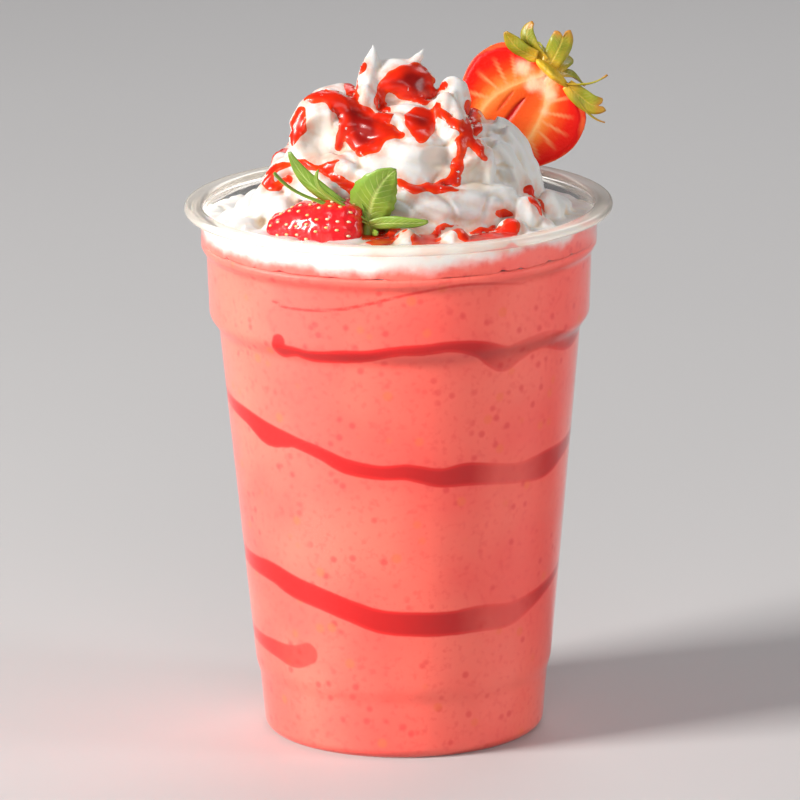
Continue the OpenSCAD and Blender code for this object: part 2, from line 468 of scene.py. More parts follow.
@dataclass(frozen=True)
class LeafFinish:
    """Leaf tissue with a midrib and side veins; across is UV X and along is UV Y."""

    kind: LeafKind

    def colours(self) -> tuple[Colour, Colour, Colour, Colour]:
        """Blade, second blade tone, vein and tip colours."""
        if self.kind is LeafKind.FRESH:
            return (0.20, 0.345, 0.026), (0.36, 0.52, 0.07), (0.60, 0.72, 0.22), (0.15, 0.25, 0.03)
        return (0.30, 0.32, 0.012), (0.60, 0.40, 0.020), (0.66, 0.48, 0.06), (0.62, 0.20, 0.02)

    def material(self) -> bpy.types.Material:
        """Build the material."""
        blade, second, vein, tip = self.colours()
        shader = Shader(self.kind.value)
        across = (shader.uv("X") - 0.5).magnitude() * 2.0
        along = shader.uv("Y")
        base_tone = 0.6 if self.kind is LeafKind.DRY else 0.45
        base = (0.80, 0.46, 0.025) if self.kind is LeafKind.DRY else (0.36, 0.46, 0.07)
        body = shader.mix(shader.grain(3.5, 3.0).step(0.35, 0.7) * base_tone, blade, second)
        body = shader.mix(along.step(0.42, 0.05) * 0.85, body, base)
        midrib = across.step(0.16, 0.0)
        ribs = ((along * 10.0 - across * 2.0) * (2 * math.pi)).sine().step(0.72, 1.0) * across.step(1.0, 0.2)
        veins = midrib + ribs * 0.6
        body = shader.mix(veins * 0.6, body, vein)
        dried = (along + (shader.grain(2.0, 3.0) - 0.5) * 0.5).step(0.72, 1.05)
        body = shader.mix(dried * (0.75 if self.kind is LeafKind.DRY else 0.5), body, tip)
        relief = 0.6 - veins * 0.35 + shader.grain(0.8, 3.0) * 0.3
        return shader.finish(Base_Color=body, Roughness=0.42, Coat_Weight=0.15, Coat_Roughness=0.3,
                             Subsurface_Weight=0.2, Subsurface_Radius=(0.5, 1.0, 0.1),
                             Subsurface_Scale=1.0 * MM, Normal=shader.bump(relief, 0.22))


@dataclass(frozen=True)
class HubFinish:
    """The boss in the middle of a calyx."""

    kind: LeafKind

    def material(self) -> bpy.types.Material:
        """Build the material."""
        first, second = (0.84, 0.52, 0.025), (0.60, 0.42, 0.03)
        if self.kind is LeafKind.FRESH:
            first, second = (0.22, 0.34, 0.04), (0.45, 0.40, 0.10)
        shader = Shader(f"{self.kind.value}_hub")
        body = shader.mix(shader.grain(1.8, 3.0).step(0.42, 0.68), first, second)
        relief = shader.grain(0.9, 3.0)
        return shader.finish(Base_Color=body, Roughness=0.45, Normal=shader.bump(relief, 0.25))


@dataclass(frozen=True)
class FloorFinish:
    """Plain pale matt floor."""

    pale: Colour = (0.62, 0.61, 0.61)
    second: Colour = (0.59, 0.58, 0.58)

    def material(self) -> bpy.types.Material:
        """Build the material."""
        shader = Shader("floor")
        body = shader.mix(shader.grain(300.0, 2.0), self.pale, self.second)
        return shader.finish(Base_Color=body, Roughness=0.7)


# Mesh building -----------------------------------------------------------------------------


def to_object(bm: bmesh.types.BMesh, name: str, outward: bool = True) -> bpy.types.Object:
    """Turn a bmesh into a smooth-shaded object at the origin, in metres.

    Args:
        bm: the mesh, in millimetres; it is freed.
        name: the piece's name.
        outward: whether to make its normals point outwards.

    Returns:
        The object.
    """
    if outward:
        bmesh.ops.recalc_face_normals(bm, faces=bm.faces)
    bmesh.ops.scale(bm, vec=(MM, MM, MM), verts=bm.verts)
    mesh = bpy.data.meshes.new(name)
    bm.to_mesh(mesh)
    bm.free()
    mesh.shade_smooth()
    made = bpy.data.objects.new(name, mesh)
    bpy.context.scene.collection.objects.link(made)
    return made


def coordinates(mesh: bpy.types.Mesh) -> np.ndarray:
    """The vertices of a mesh, one row each."""
    flat = np.empty(len(mesh.vertices) * 3)
    mesh.vertices.foreach_get("co", flat)
    return flat.reshape(-1, 3)


def normals(mesh: bpy.types.Mesh) -> np.ndarray:
    """The vertex normals of a mesh, one row each."""
    flat = np.empty(len(mesh.vertices) * 3)
    mesh.vertex_normals.foreach_get("vector", flat)
    return flat.reshape(-1, 3)


def paint(mesh: bpy.types.Mesh, name: str, values: np.ndarray) -> None:
    """Store one number for each vertex.

    Args:
        mesh: the mesh to paint.
        name: the attribute's name.
        values: one number for each vertex.
    """
    layer = mesh.attributes.get(name) or mesh.attributes.new(name, "FLOAT", "POINT")
    layer.data.foreach_set("value", np.ascontiguousarray(values, dtype=np.float32))


def rounded(points: Sequence[Point], radius: float, steps: int = 4) -> list[Point]:
    """Round the inner corners of an open line.

    Args:
        points: corners of the line.
        radius: how far from each corner the rounding starts, at most.
        steps: points along each rounding.

    Returns:
        The rounded line.
    """
    line = [points[0]]
    for before, corner, after in zip(points, points[1:], points[2:]):
        b, c, a = (Vector(p) for p in (before, corner, after))
        cut = min(radius, (b - c).length * 0.45, (a - c).length * 0.45)
        start, end = c + (b - c).normalized() * cut, c + (a - c).normalized() * cut
        for i in range(steps + 1):
            t = i / steps
            spot = start * (1 - t) ** 2 + c * 2 * t * (1 - t) + end * t ** 2
            line.append((spot.x, spot.y))
    return [*line, points[-1]]


def smooth_line(path: Sequence[Sequence[float]], per_point: int) -> np.ndarray:
    """Smooth rows of numbers into a finer line that passes through all of them.

    Args:
        path: the rows to pass through.
        per_point: steps from each row to the next.

    Returns:
        The finer rows.
    """
    rough = np.array(path, dtype=float)
    ends = np.vstack([2 * rough[0] - rough[1], rough, 2 * rough[-1] - rough[-2]])
    rows = []
    for i in range(1, len(ends) - 2):
        p0, p1, p2, p3 = ends[i - 1:i + 3]
        for t in np.arange(per_point) / per_point:
            rows.append(0.5 * (2 * p1 + (p2 - p0) * t + (2 * p0 - 5 * p1 + 4 * p2 - p3) * t ** 2
                               + (3 * p1 - p0 - 3 * p2 + p3) * t ** 3))
    return np.vstack([rows, rough[-1:]])


def arc(centre: Point, radius: float, start: float, end: float, steps: int = 8) -> list[Point]:
    """Points of an arc.

    Args:
        centre: its centre.
        radius: its radius.
        start: first angle, degrees.
        end: last angle, degrees.
        steps: gaps between the points.

    Returns:
        The points.
    """
    angles = [math.radians(start + (end - start) * i / steps) for i in range(steps + 1)]
    return [(centre[0] + radius * math.cos(a), centre[1] + radius * math.sin(a)) for a in angles]


def turned(line: Sequence[Point], steps: int, angle: float = 360.0) -> bmesh.types.BMesh:
    """Spin a half section round Z.

    Args:
        line: points of radius and height.
        steps: facets round the axis.
        angle: how far to turn, degrees.

    Returns:
        The turned mesh, in millimetres.
    """
    bm = bmesh.new()
    verts = [bm.verts.new((r, 0, z)) for r, z in line]
    edges = [bm.edges.new(pair) for pair in zip(verts, verts[1:])]
    full = abs(angle - 360) < 1e-6
    bmesh.ops.spin(bm, geom=verts + edges, cent=(0, 0, 0), axis=(0, 0, 1), dvec=(0, 0, 0),
                   angle=math.radians(angle), steps=steps, use_merge=full, use_duplicate=False)
    bmesh.ops.remove_doubles(bm, verts=bm.verts, dist=1e-4)
    return bm


def baked(made: bpy.types.Object) -> bpy.types.Mesh:
    """The mesh that an object shows, with its modifiers applied; the object is removed."""
    graph = bpy.context.evaluated_depsgraph_get()
    graph.update()
    mesh = bpy.data.meshes.new_from_object(made.evaluated_get(graph), depsgraph=graph)
    bpy.data.objects.remove(made)
    return mesh


def ruffle(points: np.ndarray, size: float, seed: float) -> np.ndarray:
    """Smooth noise at each point.

    Args:
        points: places, mm.
        size: width of one wave, mm.
        seed: shifts the pattern.

    Returns:
        One number round 0 for each point.
    """
    shift = Vector((seed, seed * 1.7, seed * 0.6))
    return np.array([noise.noise(Vector(p) / size + shift) for p in points])


def put(made: bpy.types.Object, node: str | None, slot: str, *materials: bpy.types.Material) -> None:
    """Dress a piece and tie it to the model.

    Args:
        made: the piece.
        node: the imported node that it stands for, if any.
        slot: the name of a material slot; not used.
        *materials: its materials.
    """
    for material in materials:
        made.data.materials.append(material)
    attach(made, BODY)
    if node:
        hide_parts(node)
    LOG.info("%s: %d vertices", made.name, len(made.data.vertices))


# The tumbler and the drink -----------------------------------------------------------------


@dataclass
class Tumbler:
    """The clear tumbler: a thin turned wall with stacking shoulders and a rolled rim."""

    height: float = 120.0
    rim_radius: float = 47.5
    rim_height: float = 2.0
    collar_radius: float = 43.9
    wall: float = 0.6
    corner: float = 2.6
    foot_radius: float = 31.2
    punt: float = 1.6
    punt_radius: float = 24.6
    foot_ring: float = 26.2
    blend: float = 1.1
    facets: int = 160
    side: tuple[Point, ...] = ((32.1, 13), (33, 16), (40.1, 92), (42.2, 95), (42.7, 109), (43.9, 110.6))

    def outer(self, inwards: float) -> list[Point]:
        """The wall's side from the foot's corner up, moved inwards."""
        corner = arc((self.foot_radius - self.corner, self.corner), self.corner - inwards, -90, 0)
        return corner + [(r - inwards, z) for r, z in self.side]

    def section(self) -> list[Point]:
        """Half section: under the foot, up the outside, over the rim and down the inside."""
        bead = self.rim_height / 2
        inner_radius = self.collar_radius - self.wall
        floor = [(0, self.punt), (self.punt_radius, self.punt), (self.foot_ring, 0)]
        under_rim = (self.collar_radius, self.height - self.rim_height)
        outside = rounded([*floor, *self.outer(0), under_rim], self.blend)
        rim = arc((self.rim_radius - bead, self.height - bead), bead, -90, 90, 10)
        lip = arc((inner_radius + bead, self.height - bead), bead, 90, 180, 6)
        top = self.punt + self.wall
        inner_floor = [(self.foot_ring + self.wall / 2, self.wall), (self.punt_radius, top), (0, top)]
        inside = rounded(lip[-1:] + self.outer(self.wall)[::-1] + inner_floor, self.blend)
        return outside + rim + lip[:-1] + inside

    def inside(self, beyond: float, top: float) -> list[Point]:
        """Half section of what fills the tumbler.

        Args:
            beyond: how far it reaches into the wall.
            top: height of its surface.

        Returns:
            The line from the axis on the floor up to the surface.
        """
        low = self.punt + self.wall - beyond
        floor = [(0, low), (self.punt_radius, low), (self.foot_ring, self.wall - beyond)]
        side = self.outer(self.wall - beyond) + [(self.collar_radius - self.wall + beyond, top)]
        return rounded(floor + side, self.blend)

    def build(self) -> None:
        """Build and dress the wall."""
        bm = turned(self.section(), self.facets)
        for face in bm.faces:
            face.material_index = int(face.calc_center_median().z > self.height - self.rim_height)
        made = to_object(bm, "tumbler_wall")
        rim = ClearPlastic("thick_plastic", (0.95, 0.90, 0.82), 0.58, 0.14)
        put(made, "cup", "clear_plastic", ClearPlastic().material(), rim.material())


@dataclass(frozen=True)
class Streak:
    """A streak of sauce on the wall: (degrees from the serving side, height, half width)."""

    path: tuple[tuple[float, float, float], ...]
    strength: float = 1.0
    # The fades dim a streak along its way. The dips between about 30 and 55 degrees right of the serving side
    # are painted reflection: a lamp's pale veil on the wall, washing the sauce out there.
    fades_and_painted_veil: tuple[tuple[float, float], ...] = ((-180, 1.0), (180, 1.0))


@dataclass
class Milkshake:
    """The drink, which fills the tumbler to its surface and shows through the wall."""

    tumbler: Tumbler
    surface: float = 112.0
    into_wall: float = 0.25
    facets: int = 300
    pitch: float = 0.8
    softness: float = 0.7
    streaks: tuple[Streak, ...] = (
        Streak(((-41, 105.1, .05), (-35, 104, .05), (-25, 104.3, .05), (-16, 105.2, .05), (-6, 107, .05),
                (4, 108.8, .05), (16, 110.2, .05), (26, 110, .05), (40, 108.4, 0)), 0.8,
               ((24, 1.0), (44, 0.3))),
        Streak(((-39.3, 96.0, 1.5), (-39.3, 94, 1.5), (-34, 94.2, .9), (-28, 93.5, 1.1), (-17, 94.1, 1.3),
                (-10, 94.5, 1.1), (-1, 95.7, .9), (7, 95.9, 1.0), (16, 96.3, 1.0), (25, 95, 1.7),
                (34, 91.9, 2.8), (40, 93, 2.4), (51, 94.2, 1.8), (70, 91.6, 2.0), (96, 95, 1.2),
                (130, 97, .5)), 1.0, ((24, 1.0), (36, 0.45), (52, 0.4), (70, 0.9))),
        Streak(((-128, 84, .6), (-100, 80, 1.2), (-78, 77.2, 1.2), (-62, 75.7, 1.6), (-51, 73.3, 2.4),
                (-43, 72.9, 1.7), (-38, 72.7, 1.1), (-28, 70.9, 1.2), (-19, 68.5, 1.5), (-7, 67.3, 1.4),
                (2, 67.4, 1.6), (13, 65.8, 1.9), (22, 66.1, 2.4), (32, 65.4, 2.2), (43, 64.4, 2.1),
                (58, 64.6, 2.8), (74, 66.3, 1.6), (100, 69, 1.4), (128, 70, .5)), 1.0,
               ((24, 1.0), (34, 0.45), (46, 0.4), (58, 0.9))),
        Streak(((-140, 47, .6), (-110, 44, 1.6), (-76, 41.2, 1.6), (-56, 40.6, 2.1), (-44, 38.6, 2.4),
                (-31, 36.8, 2.3), (-19, 34.6, 2.3), (-8, 32.6, 2.5), (6, 31.9, 2.6), (18, 31.7, 2.6),
                (30, 32, 2.8), (43, 31.6, 2.5), (55, 33.3, 1.7), (73, 36.1, .9), (100, 40, .8),
                (150, 46, .5)), 1.0, ((20, 1.0), (34, 0.5), (48, 0.4), (60, 0.9))),
        Streak(((-120, 27, .6), (-90, 24, 1.2), (-74, 22.9, 1.3), (-59, 22.4, 1.7), (-47, 21.8, 2.3),
                (-39, 23.4, 2.2)), 0.85, ((-60, 1.0), (-42, 0.75))),
        Streak(((150, 88, 1.0), (176, 84, 1.9), (205, 80, 1.2)), 0.9),
        Streak(((140, 58, .7), (170, 55, 2.2), (200, 58, 1.6), (226, 55, .6)), 1.0),
        Streak(((120, 25, .8), (150, 21, 2.3), (190, 24, 1.4), (230, 20, .6)), 0.9),
    )

    def side_line(self) -> list[Point]:
        """Half section with close rows up the side, so that streaks can be painted."""
        line: list[Point] = []
        rough = self.tumbler.inside(self.into_wall, self.surface)
        for first, second in zip(rough, rough[1:]):
            flat = abs(first[1] - second[1]) < 0.3
            gaps = 1 if flat else max(1, round(math.dist(first, second) / self.pitch))
            line += [tuple(np.add(first, np.subtract(second, first) * i / gaps)) for i in range(gaps)]
        return [*line, rough[-1], (0, self.surface)]

    def streak_fields(self, points: np.ndarray) -> tuple[np.ndarray, np.ndarray]:
        """How deep each point lies inside a streak, in mm, and how strong the streak is there."""
        turn = (np.degrees(np.arctan2(points[:, 0], -points[:, 1])) + 180) % 360 - 180
        radius = np.hypot(points[:, 0], points[:, 1])
        inside = np.full(len(points), -9.0)
        strength = np.ones(len(points))
        for streak in self.streaks:
            for angle, height, half in smooth_line(streak.path, 24):
                away = (turn - angle + 180) % 360 - 180
                close = np.hypot(np.radians(away) * radius, points[:, 2] - height)
                depth = half - close
                better = depth > inside
                inside = np.where(better, depth, inside)
                # The fade holds painted reflection: a lamp's pale veil on the wall dims the streaks between
                # about 30 and 55 degrees.
                fade_and_painted_veil = np.interp(angle, [a for a, _ in streak.fades_and_painted_veil], [s for _, s in streak.fades_and_painted_veil])
                strength = np.where(better, streak.strength * fade_and_painted_veil, strength)
        return inside, strength

    def build(self) -> None:
        """Build, paint and dress the drink."""
        made = to_object(turned(self.side_line(), self.facets), "milkshake_fill")
        points = coordinates(made.data) / MM
        inside, strength = self.streak_fields(points)
        paint(made.data, "streak", inside / self.softness + 0.8)
        paint(made.data, "strength", strength)
        paint(made.data, "cream_edge", cream_edge(points))
        put(made, "milkshake", "milkshake", ShakeFinish().material())


def cream_edge(points: np.ndarray) -> np.ndarray:
    """Height of each point above the wavy line where the cream ends at the wall.

    Args:
        points: places, mm.

    Returns:
        Millimetres above the line.
    """
    turn = np.degrees(np.arctan2(points[:, 0], -points[:, 1]))
    level = np.interp(turn, [-180, -60, -30, 0, 25, 50, 80, 120, 180],
                      [112.5, 114.6, 114.6, 113.4, 114.6, 116.8, 117.4, 114, 112.5])
    flat = np.stack([points[:, 0], points[:, 1], points[:, 2] * 0.2], 1)
    return points[:, 2] - level - ruffle(flat, 9.0, 3.0) * 2.2 - ruffle(flat, 3.0, 5.0) * 0.8


# The whipped cream -------------------------------------------------------------------------


@dataclass(frozen=True)
class Rope:
    """A piped rope of cream: points (x, y, z, radius, twist in degrees)."""

    path: tuple[tuple[float, float, float, float, float], ...]
    lobes: int = 7
    depth: float = 0.22
    per_point: int = 8

    def outline(self) -> bpy.types.Object:
        """The star-shaped opening that the cream is pushed through."""
        data = bpy.data.curves.new("nozzle", "CURVE")
        spline = data.splines.new("POLY")
        count = self.lobes * 8
        spline.points.add(count - 1)
        for i, point in enumerate(spline.points):
            a = 2 * math.pi * i / count
            r = 1 - self.depth + self.depth * abs(math.sin(a * self.lobes / 2)) ** 0.8
            point.co = (r * math.cos(a) * MM, r * math.sin(a) * MM, 0, 1)
        spline.use_cyclic_u = True
        made = bpy.data.objects.new("nozzle", data)
        bpy.context.scene.collection.objects.link(made)
        return made

    def mesh(self) -> bpy.types.Mesh:
        """The closed rope, in metres."""
        nozzle = self.outline()
        data = bpy.data.curves.new("rope", "CURVE")
        data.dimensions = "3D"
        data.twist_mode = "MINIMUM"
        data.bevel_mode = "OBJECT"
        data.bevel_object = nozzle
        data.use_fill_caps = True
        rows = smooth_line(self.path, self.per_point)
        spline = data.splines.new("POLY")
        spline.points.add(len(rows) - 1)
        for point, (x, y, z, radius, twist) in zip(spline.points, rows):
            point.co = (x * MM, y * MM, z * MM, 1)
            point.radius = radius
            point.tilt = math.radians(twist)
        made = bpy.data.objects.new("rope", data)
        bpy.context.scene.collection.objects.link(made)
        mesh = baked(made)
        bpy.data.objects.remove(nozzle)
        return mesh


@dataclass(frozen=True)
class Dollop:
    """A ridged lump of cream: centre, half sizes, and the way that its ridges meet."""

    centre: tuple[float, float, float]
    size: tuple[float, float, float]
    axis: tuple[float, float, float] = (0.0, 0.0, 1.0)
    ridges: int = 7
    depth: float = 0.16
    twist: float = 0.0


@dataclass(frozen=True)
class Dent:
    """A soft dent in the cream's front, also darkened with painted shade: centre, reach and depth."""

    centre: tuple[float, float, float]
    reach: float
    depth: float


@dataclass
class CreamSwirl:
    """The whipped cream: a piped swirl on a bed that reaches the wall."""

    tumbler: Tumbler
    drink_level: float = 112.0
    bed_radius: float = 44.2
    bed_height: float = 3.0
    front_lift: float = 4.8
    turns: float = 2.3
    start: float = -95.0
    ring_from: float = 24.0
    ring_to: float = 8.0
    climb_from: float = 3.4
    climb_to: float = 27.0
    rope_from: float = 9.0
    rope_to: float = 6.8
    core_size: tuple[float, float, float] = (24.0, 24.0, 30.0)
    voxel: float = 0.525
    into_wall: float = 0.15
    top_limit: float = 156.0
    peaks: tuple[Rope, ...] = (
        Rope(((-6.6, -9.0, 140.5, 2.8, 0), (-7.0, -8.6, 144.4, 3.2, 20), (-6.4, -5.6, 148.4, 2.7, 40),
              (-5.5, -2.8, 151.8, 1.9, 60), (-5.2, -1.8, 154, .9, 80), (-5.1, -1.5, 155.4, .3, 90)), 5, 0.2),
        Rope(((2.6, -2.4, 149, 2.8, 0), (4.3, -1.8, 151.6, 1.7, -30), (5.2, -1.2, 153.2, .8, -50),
              (6.1, -0.8, 154.6, .25, -60)), 5, 0.2),
        Rope(((6.4, -3.4, 146, 2.4, 0), (7.2, -3.2, 148.6, 1.1, 30), (7.6, -3.2, 150.3, .3, 60)), 5, 0.2),
    )
    curls: tuple[Rope, ...] = (
        Rope(((-9, -17, 131, 3.4, 0), (-13, -18.5, 131.4, 3.2, 40), (-17, -18.0, 131.8, 3.0, 80),
              (-20.4, -14.5, 134.2, 2.9, 120), (-21.4, -10.5, 138, 2.8, 160),
              (-19.6, -9.5, 142.6, 2.9, 200), (-15.5, -9.5, 144.6, 3.0, 240),
              (-11.5, -11.0, 143.0, 3.0, 280), (-10.4, -13.5, 138.6, 2.6, 320)), 6, 0.18),
        Rope(((10.5, -8.5, 145.5, 2.4, 0), (11.2, -11.5, 142, 3.6, 30), (12.6, -15.5, 137.6, 4.0, 60),
              (13.4, -18.5, 133, 3.6, 90)), 6, 0.2),
        Rope(((20.4, -11.5, 134.6, 2.4, 0), (23.6, -11.0, 131.6, 3.0, 20), (26.0, -10.5, 127, 3.2, 40),
              (27.6, -10.5, 121, 3.4, 60)), 5, 0.32),
        Rope(((23.0, -5.0, 136.2, 2.4, 0), (26.0, -4.5, 132.6, 2.8, 20), (28.2, -4.0, 127.4, 3.2, 40),
              (29.8, -3.5, 121, 3.6, 60)), 5, 0.32),
        Rope(((20.8, 1.0, 137.0, 2.4, 0), (24.4, 2.0, 134.4, 2.8, 20), (27.2, 3.0, 129.4, 3.2, 40),
              (29.4, 3.5, 122, 3.6, 60)), 5, 0.32),
        Rope(((-22, -12, 131, 3.0, 0), (-25.5, -11.5, 128.4, 3.2, 30), (-28.5, -12.5, 124.4, 3.4, 60),
              (-30.0, -13.5, 119.4, 3.6, 90)), 5, 0.32),
        Rope(((-3, -24, 125.6, 4.6, 0), (4, -26, 124.6, 5.0, 40), (11, -25.5, 124.0, 5.0, 80),
              (18, -22.5, 123.6, 4.8, 120), (24, -18, 123.4, 4.4, 160)), 6, 0.2),
        Rope(((-12, -22, 127, 3.4, 0), (-5, -22.6, 129.4, 3.8, 40), (2, -22.5, 129.2, 4.0, 80),
              (9, -21.5, 128.4, 3.8, 120)), 5, 0.2),
    )
    dollops: tuple[Dollop, ...] = (
        Dollop((0.2, -1.6, 146.3), (9.0, 7.6, 6.3), (0.2, -0.6, 1.0), 5, 0.12, 1.0),
        Dollop((-15.8, -10.2, 138.4), (5.8, 7.2, 7.0), (-0.3, -1.0, 0.0), 6, 0.10, 1.5),
        Dollop((-12.5, -3.0, 142.0), (8.0, 8.0, 5.2), (0.0, -0.5, 1.0), 6, 0.12),
        Dollop((2.5, -15.5, 133.4), (11.5, 8.6, 6.8), (0.4, -1.0, 0.2), 7, 0.10, 1.0),
        Dollop((12.2, -4.0, 142.6), (4.4, 5.6, 6.6), (0.6, -0.6, 0.8), 5, 0.16, 1.0),
        Dollop((16.8, -15.6, 131.0), (5.0, 6.4, 6.6), (0.2, -1.0, 0.0), 6, 0.14, 1.0),
        Dollop((21.6, -4.4, 131.0), (5.6, 6.6, 6.0), (0.8, -0.3, 0.6), 7, 0.2),
        Dollop((1.6, -36.6, 117.8), (3.2, 5.2, 3.9), (0, -0.4, 1), 5, 0.1),
        Dollop((12.0, -35.6, 118.0), (4.0, 5.0, 4.0), (0, -0.4, 1), 5, 0.1),
        Dollop((20.0, -33.6, 117.0), (4.6, 4.2, 3.0)), Dollop((27.5, -20.0, 120.8), (4.4, 4.6, 4.4)),
        Dollop((25.0, -27.6, 118.6), (3.8, 4.2, 3.8)), Dollop((33.0, -11.0, 119.6), (3.6, 4.6, 4.6)),
        Dollop((35.0, -2.0, 118.0), (3.8, 4.4, 4.2)), Dollop((31.8, -20.4, 117.2), (3.4, 3.6, 3.8)),
        Dollop((-27.0, -28.5, 115.4), (5.0, 4.6, 3.2)), Dollop((-34.0, -17.0, 116.6), (4.6, 5.4, 4.0)),
        Dollop((-36.5, -5.0, 116.0), (4.0, 5.4, 4.0)), Dollop((-31.0, 19.0, 115.0), (5.0, 5.0, 4.0)),
        Dollop((-30.0, -5.5, 117.4), (7.4, 10.5, 5.8), (-1, 0, 1), 5, 0.12),
        Dollop((-24.0, -20.5, 117.6), (6.0, 6.4, 5.0), (-1, -1, 1), 5, 0.12),
        Dollop((-25.0, -16.0, 120.6), (4.4, 5.0, 4.4)),
        Dollop((-14.0, 33.0, 114.6), (6.0, 4.4, 3.6)), Dollop((16.0, 32.0, 114.6), (5.6, 4.6, 3.8)),
    )
    dents: tuple[Dent, ...] = (
        Dent((-17.2, -18.0, 138.0), 6.6, 4.6), Dent((9.4, -23.0, 133.6), 5.2, 2.4),
        Dent((-2.0, -24.0, 134.6), 4.0, 0.9), Dent((17.4, -22.0, 130.0), 4.6, 3.0),
        Dent((28.0, -13.0, 127.6), 3.4, 1.2), Dent((6.0, -31.0, 121.4), 4.4, 1.0),
    )

    def bed(self) -> bmesh.types.BMesh:
        """The layer of cream on the drink, higher on the serving side."""
        bm = bmesh.new()
        bmesh.ops.create_cone(bm, cap_ends=True, segments=96, radius1=self.bed_radius,
                              radius2=self.bed_radius, depth=1.0)
        for vert in bm.verts:
            turn = math.atan2(vert.co.y, vert.co.x)
            lift = self.bed_height + self.front_lift * (1 - math.sin(turn)) / 2
            vert.co.z = self.drink_level + (lift if vert.co.z > 0 else 0.0)
        return bm

    def swirl(self) -> Rope:
        """The main rope, which winds up the heap."""
        rows = []
        count = round(self.turns * 16)
        for i in range(count + 1):
            t = i / count
            turn = math.radians(self.start + 360 * self.turns * t)
            wobble = 1 + 0.05 * math.sin(7.3 * i) + 0.04 * math.sin(2.9 * i + 1)
            ring = self.ring_from + (self.ring_to - self.ring_from) * t ** 1.6
            climb = self.climb_from + (self.climb_to - self.climb_from) * t ** 0.78
            radius = (self.rope_from + (self.rope_to - self.rope_from) * t) * wobble
            rows.append((ring * math.cos(turn), ring * math.sin(turn), self.drink_level + climb,
                         radius, 33.0 * i))
        return Rope(tuple(rows), 8, 0.24, 5)

    def core(self) -> bmesh.types.BMesh:
        """The soft inside that closes the gaps between the turns."""
        bm = bmesh.new()
        bmesh.ops.create_uvsphere(bm, u_segments=32, v_segments=20, radius=1.0)
        bmesh.ops.scale(bm, vec=self.core_size, verts=bm.verts)
        bmesh.ops.translate(bm, vec=(0, 0, self.drink_level + 2), verts=bm.verts)
        below = [v for v in bm.verts if v.co.z < self.drink_level + 0.2]
        for vert in below:
            vert.co.z = self.drink_level + 0.2
        return bm

    def lump(self, dollop: Dollop) -> bmesh.types.BMesh:
        """One ridged lump."""
        bm = bmesh.new()
        bmesh.ops.create_icosphere(bm, subdivisions=4, radius=1.0)
        level = Vector(dollop.axis).rotation_difference(Vector((0, 0, 1)))
        for vert in bm.verts:
            local = level @ vert.co
            turn = math.atan2(local.y, local.x) + dollop.twist * local.z
            across = math.hypot(local.x, local.y)
            wave = abs(math.cos(dollop.ridges / 2 * turn + dollop.centre[0]))
            vert.co *= 1 - dollop.depth * across * wave
        bmesh.ops.scale(bm, vec=dollop.size, verts=bm.verts)
        bmesh.ops.translate(bm, vec=dollop.centre, verts=bm.verts)
        return bm

    def gather(self) -> bpy.types.Object:
        """All the cream's ropes and lumps in one object, still overlapping."""
        whole = bmesh.new()
        parts = [self.bed(), self.core(), *(self.lump(d) for d in self.dollops)]
        for part in parts:
            mesh = bpy.data.meshes.new("part")
            bmesh.ops.scale(part, vec=(MM, MM, MM), verts=part.verts)
            part.to_mesh(mesh)
            part.free()
            whole.from_mesh(mesh)
        for rope in (self.swirl(), *self.peaks, *self.curls):
            whole.from_mesh(rope.mesh())
        mesh = bpy.data.meshes.new("cream_parts")
        bmesh.ops.recalc_face_normals(whole, faces=whole.faces)
        whole.to_mesh(mesh)
        whole.free()
        made = bpy.data.objects.new("cream_parts", mesh)
        bpy.context.scene.collection.objects.link(made)
        return made

    def melt(self, made: bpy.types.Object) -> bpy.types.Mesh:
        """Join the parts into one skin and soften it."""
        skin = made.modifiers.new("skin", "REMESH")
        skin.mode = "VOXEL"
        skin.voxel_size = self.voxel * MM
        soft = made.modifiers.new("soft", "SMOOTH")
        soft.factor = 0.5
        soft.iterations = 2
        return baked(made)

    def settle(self, mesh: bpy.types.Mesh) -> None:
        """Roughen the skin a little and keep it inside the wall and above the drink."""
        points = coordinates(mesh) / MM
        outward = normals(mesh)
        crease = 1 - 2 * np.abs(ruffle(points, 10.0, 4.0))
        heave = ruffle(points, 6.0, 1.0) * 0.5 + ruffle(points, 2.4, 2.0) * 0.12
        heave -= np.clip(crease - 0.7, 0, 1) * 1.9
        points += outward * heave[:, None]
        for dent in self.dents:
            close = np.sqrt(((points - dent.centre) ** 2).sum(1)) / dent.reach
            points[:, 1] += dent.depth * np.clip(1 - close ** 2, 0, 1) ** 2 * (outward[:, 1] < 0.2)
        points[:, 2] = np.clip(points[:, 2], self.drink_level - 0.3, self.top_limit)
        limit = self.tumbler.collar_radius - self.tumbler.wall + self.into_wall
        across = np.hypot(points[:, 0], points[:, 1])
        shrink = np.minimum(1.0, limit / np.maximum(across, 1e-6))
        points[:, :2] *= shrink[:, None]
        mesh.vertices.foreach_set("co", (points * MM).ravel())
        mesh.update()

    def shade_marks(self, mesh: bpy.types.Mesh) -> None:
        """Paint shade into the creases and dents, and the drink that shows at the wall."""
        bm = bmesh.new()
        bm.from_mesh(mesh)
        before = coordinates(mesh)
        for _ in range(5):
            bmesh.ops.smooth_vert(bm, verts=bm.verts, factor=0.5, use_axis_x=True, use_axis_y=True,
                                  use_axis_z=True)
        after = np.array([v.co[:] for v in bm.verts])
        bm.free()
        sunk = ((after - before) * normals(mesh)).sum(1) / MM
        points = before / MM
        above = np.clip((points[:, 2] - self.drink_level) / 6, 0, 1)
        # Painted shade: the deeper a vertex sits in a crease or a dent, the more beige shade it gets.
        hollow = np.clip(sunk * 5.0, 0, 1) * above
        for dent in self.dents:
            close = np.sqrt(((points - dent.centre) ** 2).sum(1)) / dent.reach
            hollow = np.maximum(hollow, np.clip(1 - close ** 2, 0, 1) * min(1.0, dent.depth / 3))
        paint(mesh, "hollow", hollow)
        across = np.hypot(points[:, 0], points[:, 1])
        near = np.where(across > 43.0, 0.0, -9.0)
        paint(mesh, "soak", near - cream_edge(points))

